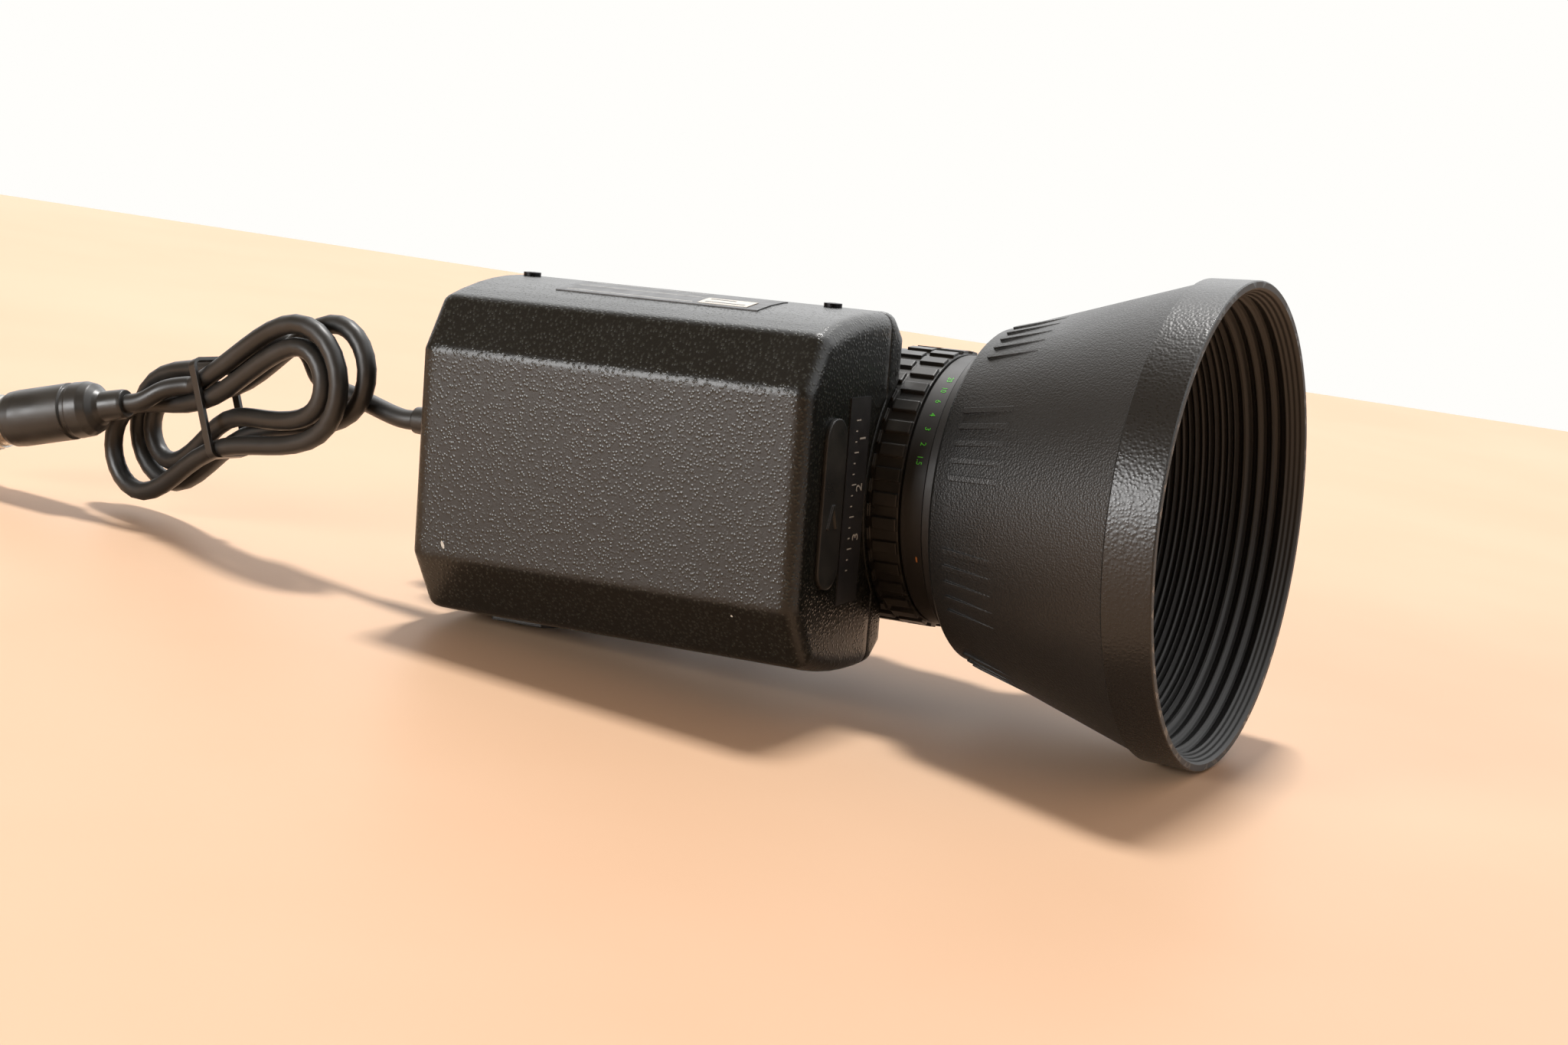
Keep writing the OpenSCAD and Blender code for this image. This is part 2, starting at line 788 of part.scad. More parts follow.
function in_hank(p) = hank_at + p[0] * hank_a + p[1] * hank_b + p[2] * hank_n;

function smooth(x) = let (c = max(0, min(1, x))) c * c * (3 - 2 * c);

// Height of a run over the middle line: from the waist to the lobe that it runs to
function run_height(run, out) =
  let (lobe = (run > 0 ? lobe_right : lobe_left) + out, waist = hank_waist + out)
  waist + (lobe - waist) * smooth(run > 0 ? run / hank_right : -run / hank_left);

// Centre of the cable after t loops: a half circle, a run back, a half circle and a run forth
function hank_point(t) =
  let (f = (t + 0.375) - floor(t + 0.375), quarter = floor(4 * f), s = 4 * f - quarter,
       out = hank_step * abs(t - hank_loops / 2),
       layer = hank_layer * (1 - 2 * smooth((t - 1.375) / 0.25)),
       turn = -90 + 180 * s,
       back = hank_right - s * (hank_right + hank_left), forth = -hank_left + s * (hank_right + hank_left),
       ab = quarter == 0 ? [hank_right + (lobe_right + out) * cos(turn), (lobe_right + out) * sin(turn)]
          : quarter == 1 ? [back, run_height(back, out)]
          : quarter == 2 ? [-hank_left - (lobe_left + out) * cos(turn), -(lobe_left + out) * sin(turn)]
          : [forth, -run_height(forth, out)])
  in_hank([ab[0] + hank_skew[0] * layer, ab[1] + hank_skew[1] * layer, layer]);

function unit(v) = v / norm(v);

// Vertices of a tube along a route: a ring of n points at each of its points, upright to its ends
function tube_points(p, r, n) =
  [for (i = [0:len(p) - 1])
    let (t = unit(p[min(i + 1, len(p) - 1)] - p[max(i - 1, 0)]),
         u = unit(cross(t, [0, 1, 0])), v = cross(u, t))
    for (k = [0:n - 1]) p[i] + r * (cos(360 * k / n) * u + sin(360 * k / n) * v)];

function tube_faces(rings, n) = concat(
  [for (k = [1:n - 2]) [0, k + 1, k]],
  [for (k = [1:n - 2]) let (o = (rings - 1) * n) [o, o + k, o + k + 1]],
  [for (i = [0:rings - 2], k = [0:n - 1]) let (a = i * n + k, b = i * n + (k + 1) % n)
    each [[a, b, a + n], [b, b + n, a + n]]]);

module cable_tube(route, sides) {
  color("#1b1b1d") polyhedron(tube_points(route, cable_r, sides), tube_faces(len(route), sides));
}

loop_rings = 24;
hank_start = hank_point(0);
hank_end = hank_point(hank_loops);
gland_x = -2.3;
gland_tip = [gland_x, gland_at[0], gland_at[1]];

// The hank's ends run straight for one diameter, and the lead and tail meet them square
end_run = 2 * cable_r;
hank_out = unit(hank_start - hank_point(0.01));
hank_off = unit(hank_end - hank_point(hank_loops - 0.01));
hank_head = hank_start + end_run * hank_out;
hank_foot = hank_end + end_run * hank_off;
hank_route = concat([hank_head], [for (i = [0:hank_loops * loop_rings]) hank_point(i / loop_rings)],
                    [hank_foot]);

// The lead, from the gland to the hank; the middle points are in the hank's frame
lead_middle = [[44.5, -7.5, 9.4], [37.5, -3.4, 9.5], [33.7, -1, 10.4], [29, 2.6, 10.7], [26.6, 10.6, 10.9],
               [22, 15, 6.2]];
lead_route = concat([gland_tip, gland_tip - [6, 0, 0]], [for (p = lead_middle) in_hank(p)],
                    [hank_head + cable_r * hank_out, hank_head]);

// The tail, from the hank to the neck of the plug
neck_end = [-96.1, -50, -0.7];
plug_axis = unit([-0.96, -0.14, -0.22]);
tail_middle = [[-7.2, 9.8, -4.2], [-12.8, 10.3, -7.4]];
tail_route = concat([hank_foot, hank_foot + 2 * hank_off], [for (p = tail_middle) in_hank(p)],
                    [neck_end - 5 * plug_axis, neck_end]);

// Least gap of the hank to itself, on points four times as close as its rings
fine = [for (i = [0:hank_loops * loop_rings * 4]) hank_point(i / (loop_rings * 4))];
apart = 20;
hank_gap = min([for (i = [0:len(fine) - 1], j = [i + apart:len(fine) - 1]) norm(fine[i] - fine[j])])
  - 2 * cable_r;
echo(hank_gap = hank_gap);

function route_length(p, i = 0) = i < len(p) - 1 ? norm(p[i + 1] - p[i]) + route_length(p, i + 1) : 0;
echo(cable_length = route_length(lead_route) + 2 * end_run + route_length(fine) + route_length(tail_route));

module cable_gland() {
  color("#161617") translate([0, gland_at[0], gland_at[1]]) {
    turned([[0, gland_x], [3.5, gland_x], [5, case_x0], [5, case_x0 + case_wall], [7, case_x0 + case_wall],
            [7, case_x0 + case_wall + 1.8], [0, case_x0 + case_wall + 1.8]]);
  }
}

module cable_lead() {
  cable_tube(lead_route, 8);
}

module cable_hank() {
  cable_tube(hank_route, 6);
}

module cable_tail() {
  cable_tube(tail_route, 8);
}

// Wire tie round the waist of the hank
module cable_tie() {
  tie_w = 2.4;
  tie_t = 1;
  color("#101011") multmatrix([[hank_a[0], hank_n[0], hank_b[0], hank_at[0]],
                               [hank_a[1], hank_n[1], hank_b[1], hank_at[1]],
                               [hank_a[2], hank_n[2], hank_b[2], hank_at[2]]])
    along_x(-tie_w / 2, tie_w / 2) difference() {
      tie_outline(tie_t);
      tie_outline(0);
    }
}

// Inside of the tie across the hank, grown by its thickness
module tie_outline(grow) {
  corner = 1.4;
  offset(r = corner + grow, $fn = 32) translate([-4.6, -10.1]) square([9.2, 23.5]);
}

// Puts a part of the plug on its axis: drawn from the neck at x = 0 towards +X
module on_plug() {
  turn = atan2(plug_axis[1], plug_axis[0]);
  dip = asin(plug_axis[2]);
  translate(neck_end) rotate([0, -dip, turn]) children();
}

boot_length = 38;

// Draws from the front end of the boot, where the metal of the plug begins
module on_shell() {
  on_plug() translate([boot_length, 0, 0]) children();
}

module plug_boot() {
  sleeve = [[0, 0], [3.8, 0], [4.1, 1], [4.3, 7]];
  shoulder = [[5.2, 8.2], [6.8, 9.6], [7.7, 12]];
  groove = [[7.9, 15.6], [7.3, 16], [7.3, 17.4], [8, 17.8]];
  end = [[8, boot_length - 4], [7.8, boot_length - 1.4], [7.2, boot_length], [0, boot_length]];
  color("#161617") on_plug() turned(concat(sleeve, shoulder, groove, end));
}

module plug_shell() {
  nose_bore = 5.6;
  color("#b4b6b9") on_shell() {
    turned([[0, 0], [7, 0], [7, 14], [6.4, 14], [6.4, 24], [nose_bore, 24], [nose_bore, 16], [0, 16]]);
    // Key inside the nose, so that the plug goes in one way round
    translate([18, -0.6, nose_bore - 0.8]) cube([5.5, 1.2, 1]);
  }
}

module plug_insert() {
  color("#2a2a2c") on_shell() {
    tube_x(16, 18, 5.5);
    for (a = [0:40:320]) rotate([a, 0, 0]) translate([0, 3.9, 0]) tube_x(17, 22.5, 0.4);
    for (a = [30, 150, 270]) rotate([a, 0, 0]) translate([0, 1.6, 0]) tube_x(17, 22.5, 0.4);
  }
}

module plug_collar() {
  color("#a9abae") on_shell() {
    difference() {
      union() {
        tube_x(3, 13, 7.6);
        along_x(5, 11) polygon(bars_outline(36, 7.6, 7.9, 3.2, 2));
      }
      tube_x(2, 14, 7 + running_gap);
    }
  }
}

main_barrel();
bayonet_mount();
mount_screws();
flange_back_ring();
lock_screw();
rear_cell();
rear_glass();
iris_ring();
index_ring();
zoom_ring();
focus_ring();
focus_grip();
rear_clamp_ring();
front_clamp_ring();
name_band();
front_ring();
front_cell();
front_element();
front_retaining_ring();
hood();
focus_cell();
focus_glass();
variator_cell();
variator_glass();
compensator_cell();
compensator_glass();
iris_housing();
relay_glass();
drive_cover();
drive_back_cover();
cover_screws();
top_label();
top_sticker();
front_label();
bottom_pad();
circuit_board();
switch_block();
focus_switch();
zoom_switch();
iris_switch();
mode_plug();
servo_motors();
motor_brackets();
iris_idler();
zoom_idler();
focus_idler();
iris_pinion();
zoom_pinion();
focus_pinion();
cable_gland();
cable_lead();
cable_hank();
cable_tail();
cable_tie();
plug_boot();
plug_shell();
plug_insert();
plug_collar();
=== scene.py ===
# %% [markdown]
# # A zoom lens with a side drive unit, a deep hood and a tied cable
# The solids of this lens are already made: every ring, gear, cover and screw comes in with the frame,
# in its place and at its real size. What is left for Blender is what the eye reads as real: the finish
# of each surface, the small printed marks, the thread in the front ring and the soft round cable.
# Everything is in metres, with +X along the lens axis and +Z up.

# %% Load the frame
import math

import bpy
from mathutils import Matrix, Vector


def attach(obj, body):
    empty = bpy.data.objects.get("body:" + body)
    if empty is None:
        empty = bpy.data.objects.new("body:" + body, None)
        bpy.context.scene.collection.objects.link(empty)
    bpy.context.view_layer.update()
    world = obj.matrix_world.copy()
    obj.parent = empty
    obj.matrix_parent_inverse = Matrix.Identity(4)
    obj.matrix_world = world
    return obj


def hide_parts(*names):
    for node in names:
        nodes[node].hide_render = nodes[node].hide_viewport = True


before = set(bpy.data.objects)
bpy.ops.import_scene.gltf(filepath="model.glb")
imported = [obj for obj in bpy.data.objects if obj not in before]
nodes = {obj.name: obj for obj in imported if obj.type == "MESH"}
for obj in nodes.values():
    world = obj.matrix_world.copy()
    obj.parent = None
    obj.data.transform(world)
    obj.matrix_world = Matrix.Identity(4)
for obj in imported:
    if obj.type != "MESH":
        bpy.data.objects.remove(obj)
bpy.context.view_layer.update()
MM = 0.001

# %% [markdown]
# ## Camera
# A camera is a place, a direction and a focal length. Here all three are known, so they are written
# down as they are. The lens is a short telephoto, which keeps the hood from looking blown up.
# The Standard view shows colours as they are written, with no film look on top.

# %% Camera
camera_data = bpy.data.cameras.new("camera")
camera_data.sensor_width = 36
camera_data.lens = 58.14
camera_data.clip_start = 0.01
camera = bpy.data.objects.new("camera", camera_data)
camera.location = Vector((379.9, -591.1, 79.4)) * MM
camera.rotation_euler = [math.radians(angle) for angle in (81.861, -4.308, 27.172)]
bpy.context.collection.objects.link(camera)
bpy.context.scene.camera = camera
bpy.context.scene.view_settings.view_transform = "Standard"
print("camera to mount face: %.0f mm" % (camera.location.length / MM))

# %% [markdown]
# ## The cable's route
# The cable leaves a gland, runs to a tied hank of three loops, and ends in a round plug. A free cable
# is easiest to make from a line of points and a round section. The hank is worked out by a formula.
# Each loop has a lobe at either end and a waist in the middle, where the tie draws it in. The loops
# spiral in through the back layer, change over along one run, and spiral out again in front. At the end
# the whole line is smoothed a few times, because a real cable has no kink where two stretches meet.

# %% The hank's own frame
hank_at = Vector((-68.8, -43, -0.8))
hank_turn, hank_rise = math.radians(10), math.radians(21)
along = Vector((math.cos(hank_turn) * math.cos(hank_rise), -math.sin(hank_turn) * math.cos(hank_rise),
                math.sin(hank_rise)))
across = Vector((-math.cos(hank_turn) * math.sin(hank_rise), math.sin(hank_turn) * math.sin(hank_rise),
                 math.cos(hank_rise)))
through = Vector((math.sin(hank_turn), math.cos(hank_turn), 0))


def in_hank(a, b, n):
    """A point of the hank's frame, in millimetres: along it, across it and through it."""
    return hank_at + a * along + b * across + n * through


# %% The hank's formula
LOOPS, STEP, LAYER = 3, 6.4, 3.3
RIGHT, LEFT, WAIST = 39.5, 28, 1.3
LOBE_RIGHT, LOBE_LEFT = 8.7, 8.5
SKEW_ALONG, SKEW_ACROSS = 1.1, 0.35
START_PHASE, CHANGE_AT, CHANGE_LENGTH = 0.375, 1.375, 0.25


def smooth(x):
    c = max(0.0, min(1.0, x))
    return c * c * (3 - 2 * c)


def run_height(run, out):
    """Height of a run over the middle line: from the waist to the lobe that it runs to."""
    lobe = (LOBE_RIGHT if run > 0 else LOBE_LEFT) + out
    waist = WAIST + out
    return waist + (lobe - waist) * smooth(run / RIGHT if run > 0 else -run / LEFT)


def hank_point(t):
    """Centre of the cable after t loops: a half circle, a run back, a half circle and a run forth."""
    f = (t + START_PHASE) % 1
    quarter, s = int(4 * f), (4 * f) % 1
    out = STEP * abs(t - LOOPS / 2)
    layer = LAYER * (1 - 2 * smooth((t - CHANGE_AT) / CHANGE_LENGTH))
    turn = math.radians(-90 + 180 * s)
    back, forth = RIGHT - s * (RIGHT + LEFT), -LEFT + s * (RIGHT + LEFT)
    if quarter == 0:
        a, b = RIGHT + (LOBE_RIGHT + out) * math.cos(turn), (LOBE_RIGHT + out) * math.sin(turn)
    elif quarter == 1:
        a, b = back, run_height(back, out)
    elif quarter == 2:
        a, b = -LEFT - (LOBE_LEFT + out) * math.cos(turn), -(LOBE_LEFT + out) * math.sin(turn)
    else:
        a, b = forth, -run_height(forth, out)
    return in_hank(a + SKEW_ALONG * layer, b + SKEW_ACROSS * layer, layer)


# %% The whole route
CABLE_R = 2.6 * MM
END_RUN = 5.2
gland_tip = Vector((-2.3, -45, 5))
neck_end = Vector((-96.1, -50, -0.7))
plug_axis = Vector((-0.96, -0.14, -0.22)).normalized()

hank_start, hank_end = hank_point(0), hank_point(LOOPS)
hank_out = (hank_start - hank_point(0.01)).normalized()
hank_off = (hank_end - hank_point(LOOPS - 0.01)).normalized()
hank_head, hank_foot = hank_start + END_RUN * hank_out, hank_end + END_RUN * hank_off

lead_middle = [(44.5, -7.5, 9.4), (37.5, -3.4, 9.5), (33.7, -1, 10.4), (29, 2.6, 10.7), (26.6, 10.6, 10.9),
               (22, 15, 6.2)]
lead = [gland_tip, gland_tip - Vector((6, 0, 0)), *(in_hank(*p) for p in lead_middle),
        hank_head + CABLE_R / MM * hank_out]
tail_middle = [(-7.2, 9.8, -4.2), (-12.8, 10.3, -7.4)]
tail = [hank_foot + 2 * hank_off, *(in_hank(*p) for p in tail_middle), neck_end - 5 * plug_axis, neck_end]


def curve_through(points, steps=6):
    """A smooth line through points: each stretch bends towards its neighbours (Catmull-Rom)."""
    line = []
    for i in range(len(points) - 1):
        p0, p1 = points[max(i - 1, 0)], points[i]
        p2, p3 = points[i + 1], points[min(i + 2, len(points) - 1)]
        for k in range(steps):
            t = k / steps
            line.append((2 * p1 + (p2 - p0) * t + (2 * p0 - 5 * p1 + 4 * p2 - p3) * t ** 2
                         + (3 * p1 - p0 - 3 * p2 + p3) * t ** 3) / 2)
    return line + [points[-1]]


PER_LOOP, SMOOTHINGS = 48, 4
loops = [hank_head, *(hank_point(k / PER_LOOP) for k in range(LOOPS * PER_LOOP + 1)), hank_foot]
route = curve_through(lead) + loops + curve_through(tail)
for _ in range(SMOOTHINGS):
    inner = [(a + 2 * b + c) / 4 for a, b, c in zip(route, route[1:], route[2:])]
    route = [route[0], *inner, route[-1]]

# %% [markdown]
# ## The cable
# One curve holds the whole cable. Its round section comes from the bevel, which is a metre wide here and
# is shrunk by each point's radius, so that the curve's own box stays as thin as the cable.

# %% Cable
cable_curve = bpy.data.curves.new("cable", "CURVE")
cable_curve.dimensions = "3D"
cable_curve.bevel_depth = 1
cable_curve.bevel_resolution = 6
cable_curve.use_fill_caps = True
spline = cable_curve.splines.new("POLY")
spline.points.add(len(route) - 1)
for point, place in zip(spline.points, route):
    point.co = (*(place * MM), 1)
    point.radius = CABLE_R
spline.use_smooth = True
cable = bpy.data.objects.new("cable", cable_curve)
bpy.context.collection.objects.link(cable)
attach(cable, "lens_body")
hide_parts("cable_lead", "cable_hank", "cable_tail")

# %% [markdown]
# ## Colours and shader nodes
# Colours are written as sRGB hex values, as a colour picker shows them. Blender mixes light in linear
# values, so one function turns the first into the second. Another adds a shader node with its settings
# and links, which keeps each material short enough to read. Sizes of patterns are written in real
# millimetres: the coordinates are in metres, so a cell of one millimetre needs a scale of a thousand.
# The wave texture repeats 10 / pi times in one unit at a scale of one, so its scale is multiplied by the
# inverse of that.

# %% Helpers for materials
def linear(hex_code):
    """sRGB hex such as #1c1c1e to the linear colour that a shader takes."""
    parts = [int(hex_code[i:i + 2], 16) / 255 for i in (1, 3, 5)]
    return [c / 12.92 if c <= 0.04045 else ((c + 0.055) / 1.055) ** 2.4 for c in parts] + [1]


def per(millimetres):
    """Texture scale at which one cell is this long."""
    return 1 / (millimetres * MM)


WAVE = math.pi / 10


def add(tree, kind, settings=None, values=None, links=None, stops=None):
    """Adds a node: its settings, its inputs' values, what is plugged into them, and a ramp's stops."""
    new = tree.nodes.new(kind)
    for name, value in (settings or {}).items():
        setattr(new, name, value)
    for name, value in (values or {}).items():
        new.inputs[name].default_value = value
    for name, source in (links or {}).items():
        tree.links.new(source, new.inputs[name])
    for element, (position, colour) in zip(new.color_ramp.elements if stops else [], stops or []):
        element.position, element.color = position, linear(colour)
    return new


def new_material(name, colour, roughness, metallic=0.0, ior=None):
    """A material with its main values set; gives it, its node tree, shader and object coordinates."""
    material = bpy.data.materials.new(name)
    material.use_nodes = True
    tree = material.node_tree
    shader = tree.nodes["Principled BSDF"]
    shader.inputs["Base Color"].default_value = linear(colour)
    shader.inputs["Roughness"].default_value = roughness
    shader.inputs["Metallic"].default_value = metallic
    if ior:
        shader.inputs["IOR"].default_value = ior
    return material, tree, shader, add(tree, "ShaderNodeTexCoord").outputs["Object"]


# %% [markdown]
# ## Textured ABS, the drive unit's covers
# The covers are injection moulded in black ABS. The mould was spark eroded, which leaves a pebble grain
# of a little under one millimetre. Each pebble catches a small glint, so the surface looks dry in the
# shade and lively where light grazes it. The grain is a Voronoi pattern turned into low domes, with finer
# grit over them. It drives the height and also the colour, which holds painted light: the pebble tops are
# painted lighter as painted glints, and the valleys between them darker as painted shade. A Bevel node
# turns the light softly over the edges, three millimetres wide, as on a box with soft edges.

# %% Covers
PEBBLE, GRIT, COVER_EDGE = 0.9, 0.5, 3
abs_cover, tree, shader, where = new_material("textured_abs", "#1a1c19", 0.3, ior=1.5)
cells = add(tree, "ShaderNodeTexVoronoi", None, {"Scale": per(PEBBLE)}, {"Vector": where})
domes = add(tree, "ShaderNodeMapRange", {"interpolation_type": "SMOOTHSTEP"},
            {"From Max": 0.55, "To Min": 1.0, "To Max": 0.0}, {"Value": cells.outputs["Distance"]})
grit = add(tree, "ShaderNodeTexNoise", None, {"Scale": per(GRIT), "Detail": 2}, {"Vector": where})
relief = add(tree, "ShaderNodeMath", {"operation": "MULTIPLY_ADD"}, {1: 0.3},
             {0: grit.outputs["Fac"], 2: domes.outputs["Result"]})
edges = add(tree, "ShaderNodeBevel", {"samples": 8}, {"Radius": COVER_EDGE * MM})
grain = add(tree, "ShaderNodeBump", None, {"Strength": 0.9, "Distance": 0.08 * MM},
            {"Height": relief.outputs[0], "Normal": edges.outputs["Normal"]})
tree.links.new(grain.outputs["Normal"], shader.inputs["Normal"])
handled = add(tree, "ShaderNodeTexNoise", None, {"Scale": per(40), "Detail": 3}, {"Vector": where})
wear = add(tree, "ShaderNodeMapRange", None,
           {"From Min": 0.3, "From Max": 0.7, "To Min": 0.24, "To Max": 0.32},
           {"Value": handled.outputs["Fac"]})
tree.links.new(wear.outputs["Result"], shader.inputs["Roughness"])
# Painted glints and painted shade: the colour is lighter on the pebble tops and darker in the valleys
# between them.
tone = add(tree, "ShaderNodeValToRGB", None, None, {"Fac": relief.outputs[0]},
           [(0.15, "#0d0e0c"), (0.95, "#272924")])
tree.links.new(tone.outputs["Color"], shader.inputs["Base Color"])
print("covers: pebbles of %.1f mm" % PEBBLE)

# %% [markdown]
# ## The hood's plastic
# The hood is moulded too. Its cone has a fine, flat grain, and the band at its rim is a little glossier,
# with a coarser and softer orange-peel grain. The inside is matt, with fine lines round it that swallow
# stray light. One material does all three. The outside is where the surface faces away from the lens
# axis, which the dot product of its direction and its place tells. The band is the outside beyond a
# distance along the axis.

# %% Hood
BAND_START = 0.194
CONE_GRAIN, BAND_GRAIN, LINE_PITCH = 0.55, 0.75, 1.2
hood_finish, tree, shader, where = new_material("moulded_hood_plastic", "#191918", 0.4, ior=1.53)
place = add(tree, "ShaderNodeSeparateXYZ", None, None, {"Vector": where})
from_axis = add(tree, "ShaderNodeVectorMath", {"operation": "MULTIPLY"}, {1: (0, 1, 1)}, {0: where})
facing = add(tree, "ShaderNodeVectorMath", {"operation": "DOT_PRODUCT"}, None,
             {0: from_axis.outputs[0], 1: where.node.outputs["Normal"]})
outside = add(tree, "ShaderNodeMath", {"operation": "GREATER_THAN"}, {1: 0.0},
              {0: facing.outputs["Value"]})
forward = add(tree, "ShaderNodeMath", {"operation": "GREATER_THAN"}, {1: BAND_START},
              {0: place.outputs["X"]})
on_band = add(tree, "ShaderNodeMath", {"operation": "MULTIPLY"}, None,
              {0: forward.outputs[0], 1: outside.outputs[0]})
fine = add(tree, "ShaderNodeTexVoronoi", None, {"Scale": per(CONE_GRAIN)}, {"Vector": where})
peel = add(tree, "ShaderNodeTexVoronoi", {"feature": "SMOOTH_F1"},
           {"Scale": per(BAND_GRAIN), "Smoothness": 0.6}, {"Vector": where})
grained = add(tree, "ShaderNodeMix", None, None,
              {"Factor": on_band.outputs[0], "A": fine.outputs["Distance"], "B": peel.outputs["Distance"]})
lines = add(tree, "ShaderNodeTexWave", {"bands_direction": "X"}, {"Scale": per(LINE_PITCH) * WAVE},
            {"Vector": where})
deep = add(tree, "ShaderNodeMath", {"operation": "MULTIPLY"}, {1: 2.0}, {0: lines.outputs["Fac"]})
height = add(tree, "ShaderNodeMix", None, None,
             {"Factor": outside.outputs[0], "A": deep.outputs[0], "B": grained.outputs["Result"]})
edges = add(tree, "ShaderNodeBevel", {"samples": 4}, {"Radius": 0.3 * MM})
grain = add(tree, "ShaderNodeBump", {"invert": True}, {"Strength": 1.0, "Distance": 0.075 * MM},
            {"Height": height.outputs["Result"], "Normal": edges.outputs["Normal"]})
tree.links.new(grain.outputs["Normal"], shader.inputs["Normal"])
handled = add(tree, "ShaderNodeTexNoise", None, {"Scale": per(30), "Detail": 3}, {"Vector": where})
wear = add(tree, "ShaderNodeMapRange", None,
           {"From Min": 0.3, "From Max": 0.7, "To Min": 0.38, "To Max": 0.48},
           {"Value": handled.outputs["Fac"]})
shine = add(tree, "ShaderNodeMix", None, {"B": 0.32},
            {"Factor": on_band.outputs[0], "A": wear.outputs["Result"]})
tops = add(tree, "ShaderNodeMapRange", None,
           {"From Min": 0.1, "From Max": 0.4, "To Min": 0.6, "To Max": 1.0},
           {"Value": grained.outputs["Result"]})
gloss = add(tree, "ShaderNodeMath", {"operation": "MULTIPLY"}, None,
            {0: shine.outputs["Result"], 1: tops.outputs["Result"]})
matt = add(tree, "ShaderNodeMix", None, {"A": 0.55}, {"Factor": outside.outputs[0], "B": gloss.outputs[0]})
tree.links.new(matt.outputs["Result"], shader.inputs["Roughness"])
print("hood: grain of %.2f mm, on the band %.2f mm, lines inside every %.1f mm"
      % (CONE_GRAIN, BAND_GRAIN, LINE_PITCH))

# %% [markdown]
# ## Anodised aluminium
# The barrel, the rings and the cells are turned from aluminium and anodised black. Turning leaves very
# fine grooves round the axis, so the height changes in thin bands along X. The grooves are drawn 0.79 mm
# apart, several times as coarse as real ones, or they would not show. Hands polish the aluminium in
# patches, which makes both the shine and the tone uneven.

# %% Rings, cells and barrel
GROOVE = 0.79


def turned_aluminium(name, colour, rubbed, roughness):
    """Anodised aluminium from the lathe; rubbed is its tone where hands polish it."""
    material, tree, shader, where = new_material(name, colour, roughness, ior=1.6)
    grooves = add(tree, "ShaderNodeTexWave", {"bands_direction": "X"},
                  {"Scale": per(GROOVE) * WAVE, "Distortion": 1.0, "Detail": 2}, {"Vector": where})
    edges = add(tree, "ShaderNodeBevel", {"samples": 4}, {"Radius": 0.2 * MM})
    cut = add(tree, "ShaderNodeBump", None, {"Strength": 0.3, "Distance": 0.006 * MM},
              {"Height": grooves.outputs["Fac"], "Normal": edges.outputs["Normal"]})
    tree.links.new(cut.outputs["Normal"], shader.inputs["Normal"])
    use = add(tree, "ShaderNodeTexNoise", None, {"Scale": per(11), "Detail": 4}, {"Vector": where})
    worn = add(tree, "ShaderNodeMapRange", None,
               {"From Min": 0.3, "From Max": 0.7, "To Min": roughness - 0.06, "To Max": roughness + 0.08},
               {"Value": use.outputs["Fac"]})
    tree.links.new(worn.outputs["Result"], shader.inputs["Roughness"])
    tone = add(tree, "ShaderNodeValToRGB", None, None, {"Fac": use.outputs["Fac"]},
               [(0.4, colour), (0.75, rubbed)])
    tree.links.new(tone.outputs["Color"], shader.inputs["Base Color"])
    return material


anodised = turned_aluminium("black_anodised_aluminium", "#1b1b1d", "#232325", 0.36)
matt_band = turned_aluminium("matt_anodised_band", "#0a0a0a", "#101010", 0.5)
print("aluminium:", anodised.name, "and", matt_band.name)

# %% [markdown]
# ## Rubber
# The focus grip, the mode plug, the pad, the gland and the plug's boot are moulded in black rubber. Rubber
# that is handled has a soft shine. Dust stays in its pores, so it looks a little grey, with a bloom.

# %% Rubber
rubber, tree, shader, where = new_material("moulded_rubber", "#242423", 0.4, ior=1.52)
bloom = add(tree, "ShaderNodeTexNoise", None, {"Scale": per(7), "Detail": 4}, {"Vector": where})
tone = add(tree, "ShaderNodeValToRGB", None, None, {"Fac": bloom.outputs["Fac"]},
           [(0.35, "#212120"), (0.75, "#2e2d2a")])
tree.links.new(tone.outputs["Color"], shader.inputs["Base Color"])
dull = add(tree, "ShaderNodeMapRange", None,
           {"From Min": 0.3, "From Max": 0.7, "To Min": 0.27, "To Max": 0.42},
           {"Value": bloom.outputs["Fac"]})
tree.links.new(dull.outputs["Result"], shader.inputs["Roughness"])
pores = add(tree, "ShaderNodeTexNoise", None, {"Scale": per(0.5), "Detail": 2}, {"Vector": where})
edges = add(tree, "ShaderNodeBevel", {"samples": 6}, {"Radius": 0.6 * MM})
skin = add(tree, "ShaderNodeBump", None, {"Strength": 0.4, "Distance": 0.02 * MM},
           {"Height": pores.outputs["Fac"], "Normal": edges.outputs["Normal"]})
tree.links.new(skin.outputs["Normal"], shader.inputs["Normal"])
print("rubber:", rubber.name)

# %% [markdown]
# ## PVC sheath
# The cable's sheath is extruded PVC: smooth along its length, with a soft broad shine and the faint
# ripple of the wires that lie under it. The tie is nylon, a little shinier.

# %% Cable sheath and tie
sheath, tree, shader, where = new_material("extruded_pvc_sheath", "#1d1d1c", 0.42, ior=1.53)
ripple = add(tree, "ShaderNodeTexNoise", None, {"Scale": per(3.5), "Detail": 2}, {"Vector": where})
soft = add(tree, "ShaderNodeBump", None, {"Strength": 0.3, "Distance": 0.1 * MM},
           {"Height": ripple.outputs["Fac"]})
tree.links.new(soft.outputs["Normal"], shader.inputs["Normal"])
rub = add(tree, "ShaderNodeTexNoise", None, {"Scale": per(13), "Detail": 4}, {"Vector": where})
gloss = add(tree, "ShaderNodeMapRange", None,
            {"From Min": 0.3, "From Max": 0.7, "To Min": 0.34, "To Max": 0.5},
            {"Value": rub.outputs["Fac"]})
tree.links.new(gloss.outputs["Result"], shader.inputs["Roughness"])
tone = add(tree, "ShaderNodeValToRGB", None, None, {"Fac": rub.outputs["Fac"]},
           [(0.3, "#1a1a19"), (0.75, "#282725")])
